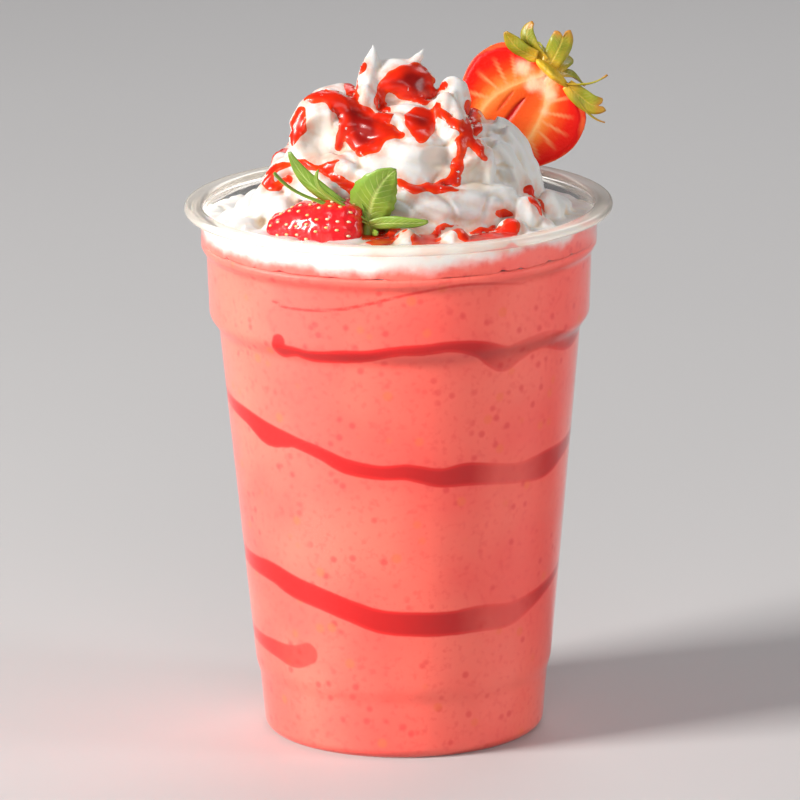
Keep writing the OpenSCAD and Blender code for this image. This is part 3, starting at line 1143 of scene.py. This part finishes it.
    def build(self) -> bpy.types.Object:
        """Build and dress the cream.

        Returns:
            The cream, for the sauce to lie on.
        """
        mesh = self.melt(self.gather())
        mesh.name = "cream_swirl"
        mesh.materials.clear()
        self.settle(mesh)
        self.shade_marks(mesh)
        mesh.shade_smooth()
        made = bpy.data.objects.new("cream_swirl", mesh)
        bpy.context.scene.collection.objects.link(made)
        put(made, "whipped_cream", "whipped_cream", CreamFinish().material())
        return made


# The sauce ---------------------------------------------------------------------------------


@dataclass(frozen=True)
class Puddle:
    """A stroke of sauce on the serving side: (right, up, half width) across the line of sight."""

    path: tuple[tuple[float, float, float], ...]

    def depth(self, flat: np.ndarray) -> np.ndarray:
        """How deep each point lies inside the stroke.

        Args:
            flat: points across the line of sight, mm.

        Returns:
            Millimetres inside, negative outside.
        """
        inside = np.full(len(flat), -9.0)
        for right, up, half in smooth_line(self.path, 8):
            inside = np.maximum(inside, half - np.hypot(flat[:, 0] - right, flat[:, 1] - up))
        return inside


@dataclass(frozen=True)
class Trickle:
    """A run of sauce on the cream: (azimuth, elevation from the drink's centre, half width)."""

    path: tuple[tuple[float, float, float], ...]


@dataclass
class SauceDrizzle:
    """Sauce that lies on the cream and follows its folds.

    The puddles run across a line of sight that comes down on the serving side by slope degrees:
    millimetres to the right, and millimetres up square to that line.
    """

    cream: bpy.types.Object
    centre_height: float = 112.0
    slope: float = 14.03
    puddles: tuple[Puddle, ...] = (
        # The pool in the middle, its arms and its link to the pool on top
        Puddle(((-21, 139, 0.7), (-17, 139, 1.3), (-13, 138, 2), (-10, 135, 3), (-7, 131, 4.6),
                (-7, 129, 3))),
        Puddle(((-10, 139, 1.6), (-10, 143, 1.2), (-7.5, 146, 0.4))),
        Puddle(((-6, 130, 3), (-2, 131, 1.5), (1, 130, 0.4))),
        Puddle(((-5, 132, 2.5), (-3, 135, 1.5), (-4, 138, 1), (-3, 141, 1))),
        # The pool on top and its outflow
        Puddle(((-2, 142, 1.5), (1, 142, 3), (4, 142, 4), (6, 140, 2.6), (6, 138, 1.4))),
        Puddle(((3, 134, 1.4), (5, 133, 3), (5, 130, 1.5))),
        Puddle(((7, 142, 1), (9, 141.5, 1), (10.5, 141, 0.4))),
        # Down the right side of the heap
        Puddle(((15.5, 137, 0.7), (16.5, 134, 1.8), (16, 131, 2))),
        Puddle(((8, 137, 0.5), (12, 133, 0.9), (16, 129.5, 1.3), (19, 125, 0.4))),
        Puddle(((14, 129, 1.1), (13, 123, 1), (11, 119, 1.5), (6, 118.5, 0.8), (3, 118, 0.9), (0, 120, 0.4))),
        # Down the left side
        Puddle(((-21.5, 136, 0.8), (-22, 133, 1.6), (-22.5, 131, 1.3), (-24, 129, 0.5))),
        Puddle(((-12, 132, 0.4), (-12.5, 130, 0.7), (-13, 128, 0.4))),
        Puddle(((-13, 125, 0.4), (-16, 123, 0.8), (-20, 124, 0.6), (-25, 124, 0.6), (-29, 122, 0.9),
                (-28, 119.5, 0.7), (-26, 119, 0.4))),
        Puddle(((-25.5, 120.5, 0.8), (-24.5, 120.5, 0.8))),
        Puddle(((-17, 123, 0.4), (-13, 120.5, 0.8), (-10, 118.5, 1.1))),
        # On the bed at the front
        Puddle(((-9, 110, 0.5), (-4, 107, 1.9), (-1, 109, 0.7), (2.5, 110, 0.3))),
        Puddle(((4, 107, 1.2), (7, 106.5, 1.4), (9, 109, 0.6), (11, 110, 0.5), (14, 108, 0.5))),
        Puddle(((14, 108, 0.6), (17, 107.5, 1.7), (20, 108, 1.6), (24, 108, 1.8), (24, 112, 1.1),
                (22, 112.5, 0.6))),
        Puddle(((29, 118, 0.8), (29.5, 116, 0.6), (31, 115, 0.8), (32, 113, 0.4))),
    )
    # At the back and the sides, hidden from the serving side
    trickles: tuple[Trickle, ...] = (
        Trickle(((30, 70, 2.5), (60, 66, 4.5), (90, 62, 5.0), (120, 66, 4.5), (150, 70, 3.0))),
        Trickle(((95, 62, 3.0), (100, 50, 2.2), (110, 40, 1.6), (118, 33, 1.2))),
        Trickle(((150, 60, 2.6), (165, 46, 2.0), (178, 36, 1.6), (188, 26, 1.2))),
        Trickle(((40, 60, 2.4), (28, 46, 1.8), (20, 34, 1.4), (30, 24, 1.2))),
    )
    creep: float = 0.2
    film: float = 0.55
    dip: float = 0.10
    swell: float = 1.1
    margin: float = 0.7
    skirt: float = 0.35
    shore: float = 0.25
    calm_depth: float = 0.6
    calm_rounds: int = 14
    thickness: float = 0.25

    def trace(self, trickle: Trickle, tree: BVHTree) -> np.ndarray:
        """Points along a trickle on the cream's skin, with half widths, in mm."""
        path = np.array(trickle.path, dtype=float)
        steps = np.arange(0, len(path) - 1 + 1e-9, 0.05)
        rows = []
        for step in steps:
            turn, rise, half = (np.interp(step, range(len(path)), path[:, i]) for i in range(3))
            a, e = math.radians(turn), math.radians(rise)
            way = Vector((math.cos(e) * math.cos(a), math.cos(e) * math.sin(a), math.sin(e)))
            far = Vector((0, 0, self.centre_height * MM)) + way * 0.08
            hit = tree.ray_cast(far, -way)[0]
            if hit is not None:
                rows.append((*(hit / MM), half))
        return np.array(rows)

    def seen(self, points: np.ndarray, tree: BVHTree) -> np.ndarray:
        """Which points show along the line of sight."""
        slope = math.radians(self.slope)
        way = Vector((0, -math.cos(slope), math.sin(slope)))
        facing = normals(self.cream.data) @ np.array(way) > 0.02
        shown = np.zeros(len(points), dtype=bool)
        for i in np.flatnonzero(facing & (points[:, 2] > self.centre_height + 1)):
            place = Vector(points[i]) * MM + way * 0.0004
            shown[i] = tree.ray_cast(place, way)[0] is None
        return shown

    def spread_even(self, values: np.ndarray, rounds: int) -> np.ndarray:
        """Even out numbers over the cream's skin.

        Args:
            values: one number for each vertex.
            rounds: how often each vertex takes the mean of its neighbours.

        Returns:
            The evened numbers.
        """
        mesh = self.cream.data
        ends = np.empty(len(mesh.edges) * 2, dtype=np.int32)
        mesh.edges.foreach_get("vertices", ends)
        first, second = ends.reshape(-1, 2).T
        count = np.bincount(ends, minlength=len(values))
        for _ in range(rounds):
            total = np.bincount(first, values[second], len(values))
            total += np.bincount(second, values[first], len(values))
            values = 0.5 * values + 0.5 * total / np.maximum(count, 1)
        return values

    def cover(self, points: np.ndarray) -> np.ndarray:
        """How deep each point lies inside the sauce's outline, in mm."""
        bm = bmesh.new()
        bm.from_mesh(self.cream.data)
        tree = BVHTree.FromBMesh(bm)
        bm.free()
        slope = math.radians(self.slope)
        up = points[:, 2] * math.cos(slope) + points[:, 1] * math.sin(slope)
        flat = np.stack([points[:, 0], up], 1)
        fronts = np.max([puddle.depth(flat) for puddle in self.puddles], axis=0)
        near = fronts > -3
        fronts[near] += ruffle(points[near], 2.4, 11.0) * 0.9
        inside = self.spread_even(np.where(self.seen(points, tree), np.maximum(fronts, -4), -4.0), 2)
        runs = np.full(len(points), -9.0)
        for trickle in self.trickles:
            for x, y, z, half in self.trace(trickle, tree):
                close = np.sqrt(((points - (x, y, z)) ** 2).sum(1))
                runs = np.maximum(runs, half - close)
        near = runs > -4
        runs[near] += ruffle(points[near], 3.2, 7.0) + ruffle(points[near], 1.4, 9.0) * 0.35
        return np.maximum(inside + self.creep, runs)

    def build(self) -> None:
        """Build the sauce as a closed film, stain the cream under it, and dress it."""
        mesh = self.cream.data
        points = coordinates(mesh) / MM
        inside = self.cover(points)
        paint(mesh, "stain", np.clip(1.1 - np.abs(inside + 0.2) / 2.0, 0, 1))
        bm = bmesh.new()
        bm.from_mesh(mesh)
        bm.verts.ensure_lookup_table()
        depth = bm.verts.layers.float.new("depth")
        for vert, value in zip(bm.verts, inside):
            vert[depth] = value
        bare = [v for v in bm.verts if v[depth] < -self.margin]
        bmesh.ops.delete(bm, geom=bare, context="VERTS")
        loose = [v for v in bm.verts if not v.link_faces]
        bmesh.ops.delete(bm, geom=loose, context="VERTS")
        inner = [v for v in bm.verts if v[depth] > self.calm_depth]
        for _ in range(self.calm_rounds):
            bmesh.ops.smooth_vert(bm, verts=inner, factor=0.5, use_axis_x=True, use_axis_y=True,
                                  use_axis_z=True)
        bm.normal_update()
        ways = [(v, v.normal.copy()) for v in bm.verts]
        for vert, way in ways:
            inland = vert[depth] + self.shore
            rise = self.film * (1 - math.exp(-max(0.0, inland) / self.swell)) - self.dip
            if inland < 0:
                rise = -self.dip + inland * self.skirt
            vert.co += way * rise * MM
        bmesh.ops.solidify(bm, geom=bm.faces[:], thickness=self.thickness * MM)
        bmesh.ops.scale(bm, vec=(1 / MM, 1 / MM, 1 / MM), verts=bm.verts)
        made = to_object(bm, "sauce_drizzle", outward=False)
        put(made, None, "strawberry_sauce", SauceFinish().material())


# Strawberries ------------------------------------------------------------------------------


@dataclass
class Berry:
    """A strawberry in its own frame: calyx seat at the origin, tip towards -Z."""

    name: str
    node: str
    radius: float
    length: float
    frame_at: Matrix
    seat: float = 0.2
    shoulder_rise: float = 0.0
    rows: int = 90
    facets: int = 128
    seed_pitch: float = 2.6
    seed_size: float = 0.75
    bluntness: float = 0.72
    lumps: float = 0.0

    def radius_at(self, s: np.ndarray | float) -> np.ndarray | float:
        """Radius at the share s of the length, from seat to tip."""
        swell = np.sin(np.pi * np.clip(s, 0, 1) ** 0.6) ** self.bluntness
        return self.radius * (self.seat * (1 - np.clip(s, 0, 1) ** 3) + (1 - self.seat) * swell)

    def height_at(self, s: float) -> float:
        """Height at the share s of the length, with raised shoulders."""
        return -self.length * s + self.shoulder_rise * math.exp(-((s - 0.1) / 0.09) ** 2)

    def lump(self, spot: Vector) -> float:
        """How far the skin stands out at a place, mm."""
        if not self.lumps:
            return 0.0
        return self.lumps * (noise.noise(spot / 4.0) + 0.5 * noise.noise(spot / 1.7))

    def shares(self) -> list[float]:
        """Shares of the length for each row, closer at both ends."""
        return [0.5 - 0.5 * math.cos(math.pi * i / self.rows) for i in range(self.rows + 1)]

    def side(self) -> list[Point]:
        """Half section from the axis at the seat to the tip."""
        line = [(max(0.0, float(self.radius_at(s))), self.height_at(s)) for s in self.shares()]
        line[-1] = (0.0, line[-1][1])
        return [(0.0, line[0][1]), *line]

    def seeds(self, turn_limit: float) -> list[tuple[Vector, Vector, float]]:
        """Places, outward ways and turns of the seeds.

        Args:
            turn_limit: how far round the berry they go, degrees from +X.

        Returns:
            For each seed its place, its outward way and its turn, in the berry's frame.
        """
        places = []
        s = 0.09
        row = 0
        while s < 0.97:
            r = float(self.radius_at(s))
            count = max(4, round(2 * math.pi * r / self.seed_pitch))
            for i in range(count):
                turn = 360 * (i + 0.5 * (row % 2) + 0.16 * math.sin(3.1 * i + 2.3 * row)) / count
                if 3 < turn % 360 < turn_limit - 3:
                    a = math.radians(turn)
                    slope = float(self.radius_at(s + 0.01) - self.radius_at(s - 0.01)) / (0.02 * self.length)
                    out = Vector((math.cos(a), math.sin(a), slope)).normalized()
                    spot = Vector((r * math.cos(a), r * math.sin(a), self.height_at(s)))
                    spot += out * self.lump(spot)
                    places.append((spot, out, turn))
            s += self.seed_pitch * 0.86 / self.length
            row += 1
        return places

    def dimple(self, bm: bmesh.types.BMesh, seeds: list[tuple[Vector, Vector, float]]) -> None:
        """Sink the skin round each seed."""
        spots = np.array([s[0][:] for s in seeds])
        ways = [s[1] for s in seeds]
        for vert in bm.verts:
            away = np.sqrt(((spots - np.array(vert.co[:])) ** 2).sum(1))
            nearest = int(away.argmin())
            reach = self.seed_size * 1.7
            if away[nearest] < reach:
                sink = (1 - (away[nearest] / reach) ** 2) ** 2 * self.seed_size * 0.42
                vert.co -= ways[nearest] * sink

    def seed_piece(self, seeds: list[tuple[Vector, Vector, float]]) -> None:
        """Build the seeds as one piece."""
        whole = bmesh.new()
        for spot, out, _ in seeds:
            made = bmesh.ops.create_uvsphere(whole, u_segments=6, v_segments=5, radius=1.0)
            side = out.cross(Vector((0, 0, 1))).normalized()
            up = side.cross(out).normalized()
            size = self.seed_size
            turn = Matrix((side * size * 0.42, up * size * 0.72, out * size * 0.34)).transposed().to_4x4()
            place = Matrix.Translation(spot - out * size * 0.16) @ turn
            bmesh.ops.transform(whole, matrix=place, verts=made["verts"])
        bmesh.ops.transform(whole, matrix=self.frame_at, verts=whole.verts)
        made = to_object(whole, f"{self.name}_seeds", outward=False)
        put(made, None, "strawberry", SeedFinish().material(f"{self.name}_seed"))

    def paint_shoulder(self, mesh: bpy.types.Mesh) -> None:
        """Paint the pale ring under the calyx."""
        local = self.local(mesh)
        across = np.hypot(local[:, 0], local[:, 1])
        share = np.clip(1 - across / (self.radius * 0.5), 0, 1) * (local[:, 2] > -self.length * 0.3)
        paint(mesh, "shoulder", share)

    def local(self, mesh: bpy.types.Mesh) -> np.ndarray:
        """The vertices in the berry's own frame, mm."""
        back = np.array(self.frame_at.inverted())
        points = coordinates(mesh) / MM
        return points @ back[:3, :3].T + back[:3, 3]


@dataclass
class WholeBerry(Berry):
    """The whole strawberry, which lies in the cream."""

    def build(self) -> None:
        """Build and dress the berry and its seeds."""
        bm = turned(self.side(), self.facets)
        bm.normal_update()
        for vert, rise in [(v, self.lump(v.co)) for v in bm.verts]:
            vert.co += vert.normal * rise
        seeds = self.seeds(360)
        self.dimple(bm, seeds)
        bmesh.ops.transform(bm, matrix=self.frame_at, verts=bm.verts)
        made = to_object(bm, self.name)
        self.paint_shoulder(made.data)
        put(made, self.node, "strawberry", BerrySkin().material("strawberry_skin"))
        self.seed_piece(seeds)


@dataclass
class HalfBerry(Berry):
    """The halved strawberry: skin behind, and a cut face towards -Y of its own frame."""

    core_top: float = 1.2
    core_length: float = 24.0
    core_half: float = 5.9
    vein_count: int = 17
    columns: int = 100
    crown_spots: tuple[tuple[float, float, float, float], ...] = (
        (-5.6, -2.9, 2.1, 0.95), (-1.3, -4.4, 1.9, 0.9), (3.2, -3.4, 2.2, 0.8), (4.8, -7.0, 1.6, 0.5),
        (0.0, -1.0, 2.4, 0.6))
    slits: tuple[tuple[float, float, float, float, float], ...] = (
        (-0.4, -7.6, -18.4, 0.62, 1.0), (-3.3, -7.8, -14.4, 0.42, 0.5))

    def face(self, bm: bmesh.types.BMesh) -> None:
        """Fill the cut plane with a fine grid of faces that meets the skin's edge."""
        grid = bmesh.ops.create_grid(bm, x_segments=self.columns, y_segments=self.rows, size=1.0)
        shares = self.shares()
        for vert in grid["verts"]:
            row = round((1 - vert.co.y) / 2 * self.rows)
            reach = 0.0 if row == self.rows else float(self.radius_at(shares[row]))
            vert.co = (vert.co.x * reach, 0.0, self.height_at(shares[row]))
        for face in {f for v in grid["verts"] for f in v.link_faces}:
            face.material_index = 1

    def core_width(self, z: np.ndarray) -> np.ndarray:
        """Half width of the core at each height."""
        share = np.clip((-z - self.core_top) / self.core_length, 0, 1)
        return self.core_half * np.sin(np.pi * np.clip(share, 0.02, 0.98) ** 1.12) ** 0.75 + 0.25

    def marks(self, mesh: bpy.types.Mesh) -> None:
        """Paint the ring, veins, crown and the slits' painted shade, and sink the slits."""
        local = self.local(mesh)
        x, y, z = local.T
        share = np.clip(-z / self.length, 0.003, 0.997)
        border = np.maximum(np.asarray(self.radius_at(share)), 0.5)
        core = self.core_width(z)
        beyond = np.abs(x) - core
        ring = np.where(beyond < 0, beyond / core, beyond / np.maximum(border - core, 0.6))
        low = np.clip((-z - self.core_top - self.core_length * 0.9) / 4.5, 0, 1)
        ring = ring * (1 - low) + low * np.maximum(ring, 0.55)
        paint(mesh, "ring", np.clip(ring, -1, 1))
        bend = np.arctan2(np.abs(x), -(z + self.length * 0.36))
        wave = np.cos(bend * self.vein_count + 0.6 * np.sin(bend * 3.1 + np.sign(x)) + np.sign(x))
        thin = np.clip((wave - 0.66) / 0.34, 0, 1)
        reach = np.clip(ring / 0.06, 0, 1) * np.clip((0.80 - ring) / 0.4, 0, 1)
        paint(mesh, "vein", thin * reach * (1 - low))
        crown = sum(part * np.exp(-((x - cx) ** 2 + (z - cz) ** 2) / wide ** 2)
                    for cx, cz, wide, part in self.crown_spots)
        paint(mesh, "crown", crown)
        slit = np.zeros(len(x))
        for offset, top, bottom, half, power in self.slits:
            along = np.clip((z - bottom) / (top - bottom), 0, 1)
            width = half * np.sin(np.pi * np.clip(along, 0.001, 0.999)) ** 0.6
            away = np.abs(x - offset + 0.2 * np.sin(z * 0.5))
            line = np.clip(1.4 - away / np.maximum(width, 0.05), 0, 1)
            slit = np.maximum(slit, line * (along > 0) * (along < 1) * power)
        front = np.abs(y) < 0.02
        paint(mesh, "slit", slit * front)
        inner = np.clip((border - np.abs(x)) / 1.2, 0, 1) * front
        sink = slit * 0.4 - 0.35 * np.clip(ring, 0, 1) * inner + 0.2 * np.clip(-ring, 0, 1) * inner
        moved = local + np.outer(sink * inner, (0, 1, 0))
        turn = np.array(self.frame_at)
        placed = moved @ turn[:3, :3].T + turn[:3, 3]
        mesh.vertices.foreach_set("co", (placed * MM).ravel())
        mesh.update()

    def build(self) -> None:
        """Build and dress the half and its seeds."""
        bm = turned(self.side(), self.facets, 180)
        seeds = self.seeds(180)
        self.dimple(bm, seeds)
        self.face(bm)
        bmesh.ops.remove_doubles(bm, verts=bm.verts, dist=0.004)
        bmesh.ops.transform(bm, matrix=self.frame_at, verts=bm.verts)
        made = to_object(bm, self.name)
        self.paint_shoulder(made.data)
        self.marks(made.data)
        put(made, self.node, "cut_strawberry", BerrySkin().material("half_skin"), CutFlesh().material())
        self.seed_piece(seeds)


# Calyxes -----------------------------------------------------------------------------------


class Outline(Enum):
    """The outline of a sepal."""

    STRAP = "strap"
    OVATE = "ovate"
    FORKED = "forked"
    THREAD = "thread"


@dataclass(frozen=True)
class Sepal:
    """A sepal: azimuth, length and width, lean from the axis, bend, roll, curl and outline."""

    azimuth: float
    length: float
    width: float
    lean: float
    bend: float
    roll: float
    outline: Outline = Outline.STRAP
    hook: float = 0.0
    cup: float = 0.18
    foot: float = 0.5

    def half_width(self, s: float) -> float:
        """Half width at the share s of the length."""
        if self.outline is Outline.OVATE:
            shape = math.sin(math.pi * min(1, 0.05 + 0.95 * s ** 0.8)) ** 0.75 + 0.10 * (1 - s)
            return self.width / 2 * shape * (1 + 0.04 * math.sin(s * 40))
        if self.outline is Outline.FORKED:
            return self.width / 2 * (0.45 + 0.55 * math.sin(math.pi * (0.1 + 0.62 * s))) * (1 - 0.25 * s ** 6)
        if self.outline is Outline.THREAD:
            return self.width / 2 * (1 - 0.35 * s)
        return self.width / 2 * (0.55 + 0.45 * math.sin(math.pi * (0.15 + 0.65 * s))) * (1 - s ** 5 * 0.75)

    def spine(self, s: float) -> tuple[float, float, float]:
        """Sideways place, height and tilt at the share s of the length."""
        x = z = 0.0
        steps = max(1, round(s * 40))
        tilt = 0.0
        for i in range(steps):
            t = s * (i + 0.5) / steps
            tilt = math.radians(self.bend * t + self.hook * max(0.0, t - 0.6) * 2.5)
            x += math.sin(tilt) * self.length * s / steps
            z += math.cos(tilt) * self.length * s / steps
        return x, z, tilt

    def add(self, whole: bmesh.types.BMesh, start: float, boss: float) -> None:
        """Add the sepal's blade to a mesh, in the berry's frame.

        Args:
            whole: the mesh to add it to; its active UV layer takes across and along.
            start: distance of its foot from the axis.
            boss: height of its foot.
        """
        grid = bmesh.ops.create_grid(whole, x_segments=6, y_segments=22, size=1.0, calc_uvs=True)
        roll = math.radians(self.roll)
        for vert in grid["verts"]:
            u, s = vert.co.x, (vert.co.y + 1) / 2
            x, z, tilt = self.spine(s)
            half = self.half_width(s)
            ahead = Vector((math.sin(tilt), 0, math.cos(tilt)))
            side, face = Vector((0, 1, 0)), Vector((-math.cos(tilt), 0, math.sin(tilt)))
            across = side * math.cos(roll) + face * math.sin(roll)
            lift = face * math.cos(roll) - side * math.sin(roll)
            notch = 0.0
            if self.outline is Outline.FORKED:
                notch = self.length * 0.16 * max(0.0, 1 - abs(u) * 2.2) * s ** 6
            fold = self.cup * abs(u) * half + 0.12 * half * math.sin(s * 9 + u * 2)
            vert.co = Vector((x, 0, z)) + across * u * half + lift * fold - ahead * notch
        place = (Matrix.Rotation(math.radians(self.azimuth), 4, "Z") @ Matrix.Translation((start, 0, boss))
                 @ Matrix.Rotation(math.radians(self.lean), 4, "Y"))
        bmesh.ops.transform(whole, matrix=place, verts=grid["verts"])


@dataclass
class Calyx:
    """The leafy cap of a strawberry: a hub and its sepals."""

    name: str
    node: str
    kind: LeafKind
    frame_at: Matrix
    hub_radius: float
    sepals: tuple[Sepal, ...]
    thickness: float = 0.32
    hub_height: float = 2.0
    hub_spread: float = 1.5

    def build(self) -> None:
        """Build and dress the hub and the sepals as one piece."""
        whole = bmesh.new()
        whole.loops.layers.uv.new("UVMap")
        for sepal in self.sepals:
            sepal.add(whole, self.hub_radius * sepal.foot, self.hub_height * 0.45)
        bmesh.ops.solidify(whole, geom=whole.faces[:], thickness=self.thickness)
        hub = bmesh.ops.create_uvsphere(whole, u_segments=20, v_segments=12, radius=1.0, calc_uvs=True)
        for face in {f for v in hub["verts"] for f in v.link_faces}:
            face.material_index = 1
        for vert in hub["verts"]:
            turn = math.atan2(vert.co.y, vert.co.x)
            lobe = 1 + 0.14 * math.cos(5 * turn)
            wide = self.hub_radius * self.hub_spread * lobe
            vert.co = (vert.co.x * wide, vert.co.y * wide * 0.8, (vert.co.z * 0.6 + 0.3) * self.hub_height)
        bmesh.ops.transform(whole, matrix=self.frame_at, verts=whole.verts)
        made = to_object(whole, self.name)
        leaf, boss = LeafFinish(self.kind).material(), HubFinish(self.kind).material()
        put(made, self.node, self.kind.value, leaf, boss)


# Studio ------------------------------------------------------------------------------------


@dataclass(frozen=True)
class Lamp:
    """A soft rectangular lamp: place and aim in mm, size in mm, power in watts."""

    name: str
    place: tuple[float, float, float]
    size: tuple[float, float]
    power: float
    colour: Colour = (1.0, 1.0, 1.0)
    aim: tuple[float, float, float] = (0.0, 0.0, 90.0)

    def build(self) -> None:
        """Hang the lamp."""
        data = bpy.data.lights.new(self.name, "AREA")
        data.shape = "RECTANGLE"
        data.size, data.size_y = self.size[0] * MM, self.size[1] * MM
        data.energy = self.power
        data.color = self.colour
        made = bpy.data.objects.new(self.name, data)
        place = Vector(self.place) * MM
        way = Vector(self.aim) * MM - place
        made.matrix_world = Matrix.Translation(place) @ way.to_track_quat("-Z", "Y").to_matrix().to_4x4()
        bpy.context.scene.collection.objects.link(made)


@dataclass
class Studio:
    """The floor, the lamps and the camera."""

    floor_half: float = 4000.0
    camera_at: tuple[float, float, float] = (-0.18, -2000.0, 574.0)
    camera_aim: tuple[float, float, float] = (-0.18, 0.0, 74.4)
    lens: float = 416.8
    roll: float = -0.66
    sky: float = 0.13
    lamps: tuple[Lamp, ...] = (
        Lamp("key", (-1150, -500, 700), (420, 600), 29.0, (1.0, 0.97, 0.94)),
        Lamp("front", (100, -1500, 900), (900, 700), 5.0),
        Lamp("side", (800, -250, 300), (200, 700), 2.2),
        Lamp("back", (200, 900, 800), (800, 500), 3.0),
    )

    def build(self) -> None:
        """Build the floor, the sky, the lamps and the camera."""
        bm = bmesh.new()
        bmesh.ops.create_grid(bm, x_segments=8, y_segments=8, size=self.floor_half)
        floor = to_object(bm, "floor", outward=False)
        floor.data.materials.append(FloorFinish().material())
        world = bpy.data.worlds.new("studio")
        world.use_nodes = True
        light = world.node_tree.nodes["Background"]
        light.inputs["Color"].default_value = (0.93, 0.95, 1.0, 1.0)
        light.inputs["Strength"].default_value = self.sky
        bpy.context.scene.world = world
        bpy.context.scene.view_settings.view_transform = "Standard"
        for lamp in self.lamps:
            lamp.build()
        self.stand_camera()

    def stand_camera(self) -> None:
        """Place and aim the camera."""
        data = bpy.data.cameras.new("camera")
        data.sensor_width = 36.0
        data.lens = self.lens
        data.clip_start, data.clip_end = 0.05, 50.0
        made = bpy.data.objects.new("camera", data)
        place = Vector(self.camera_at) * MM
        way = Vector(self.camera_aim) * MM - place
        look = way.to_track_quat("-Z", "Y").to_matrix().to_4x4()
        lean = Matrix.Rotation(math.radians(self.roll), 4, "Z")
        made.matrix_world = Matrix.Translation(place) @ look @ lean
        bpy.context.scene.collection.objects.link(made)
        bpy.context.scene.camera = made


# Assembly ----------------------------------------------------------------------------------


def turns(z: float = 0.0, x: float = 0.0, y: float = 0.0) -> Matrix:
    """Rotate about Y, then X, then Z, in degrees."""
    return (Matrix.Rotation(math.radians(z), 4, "Z") @ Matrix.Rotation(math.radians(x), 4, "X")
            @ Matrix.Rotation(math.radians(y), 4, "Y"))


WHOLE_PLACE = Matrix.Translation((-7.2, -29.5, 119.7)) @ turns(z=-16, y=88)
HALF_PLACE = Matrix.Translation((34.0, 22.5, 143.4)) @ turns(z=-8, x=-8, y=41)

WHOLE_SEPALS = (
    Sepal(190, 24, 4, 150, -20, 85, Outline.STRAP, -25, foot=1.3),
    Sepal(200, 24, 1.3, 150, 10, 0, Outline.THREAD, -40, foot=1.3),
    Sepal(205, 19, 1.8, 135, 5, 60, Outline.STRAP, -85, foot=1.3),
    Sepal(195, 16, 9.5, 85, -50, 95, Outline.OVATE, 0, 0.10, 1.3),
    Sepal(180, 8, 3, 100, 20, 0),
    Sepal(215, 14, 3, 20, -40, 70, Outline.STRAP, 35, foot=1.2),
    Sepal(260, 5.5, 1.5, 50, 10, 0),
)
HALF_SEPALS = (
    Sepal(190, 9.5, 4, 115, -45, 70, Outline.STRAP, -5, foot=1.5),
    Sepal(180, 11, 4, 90, -45, 65, Outline.STRAP, -60, foot=0.8),
    Sepal(185, 9, 5.5, 10, 10, 90, Outline.FORKED, 25, 0.1, 0.4),
    Sepal(-10, 10, 1.2, 60, -45, 0, Outline.THREAD, -5, foot=1.5),
    Sepal(0, 10, 4.5, 95, -20, 90, Outline.FORKED, -45, 0.1, 1.5),
    Sepal(0, 12.5, 1.2, 110, -20, 0, Outline.THREAD, -30, foot=1.5),
    Sepal(90, 12, 4.4, 50, 50, 0),
    Sepal(125, 11, 4.0, 66, 40, 0),
    Sepal(55, 11, 4.0, 66, 40, 0),
)


def main() -> None:
    """Build the milkshake and its studio."""
    logging.basicConfig(level=logging.INFO, format="%(message)s")
    tumbler = Tumbler()
    tumbler.build()
    Milkshake(tumbler).build()
    cream = CreamSwirl(tumbler).build()
    SauceDrizzle(cream).build()
    WholeBerry("whole_strawberry_skin", "whole_strawberry", 7.5, 22.5, WHOLE_PLACE, rows=60,
               facets=96, seed_pitch=2.8, seed_size=0.75, bluntness=0.38, lumps=0.6).build()
    HalfBerry("half_strawberry_cut", "half_strawberry", 15.0, 28.5, HALF_PLACE, shoulder_rise=1.2).build()
    Calyx("whole_calyx_leaves", "whole_calyx", LeafKind.FRESH, WHOLE_PLACE, 1.5, WHOLE_SEPALS).build()
    Calyx("half_calyx_leaves", "half_calyx", LeafKind.DRY, HALF_PLACE, 3.0, HALF_SEPALS).build()
    Studio().build()


if __name__ == "__main__":
    main()
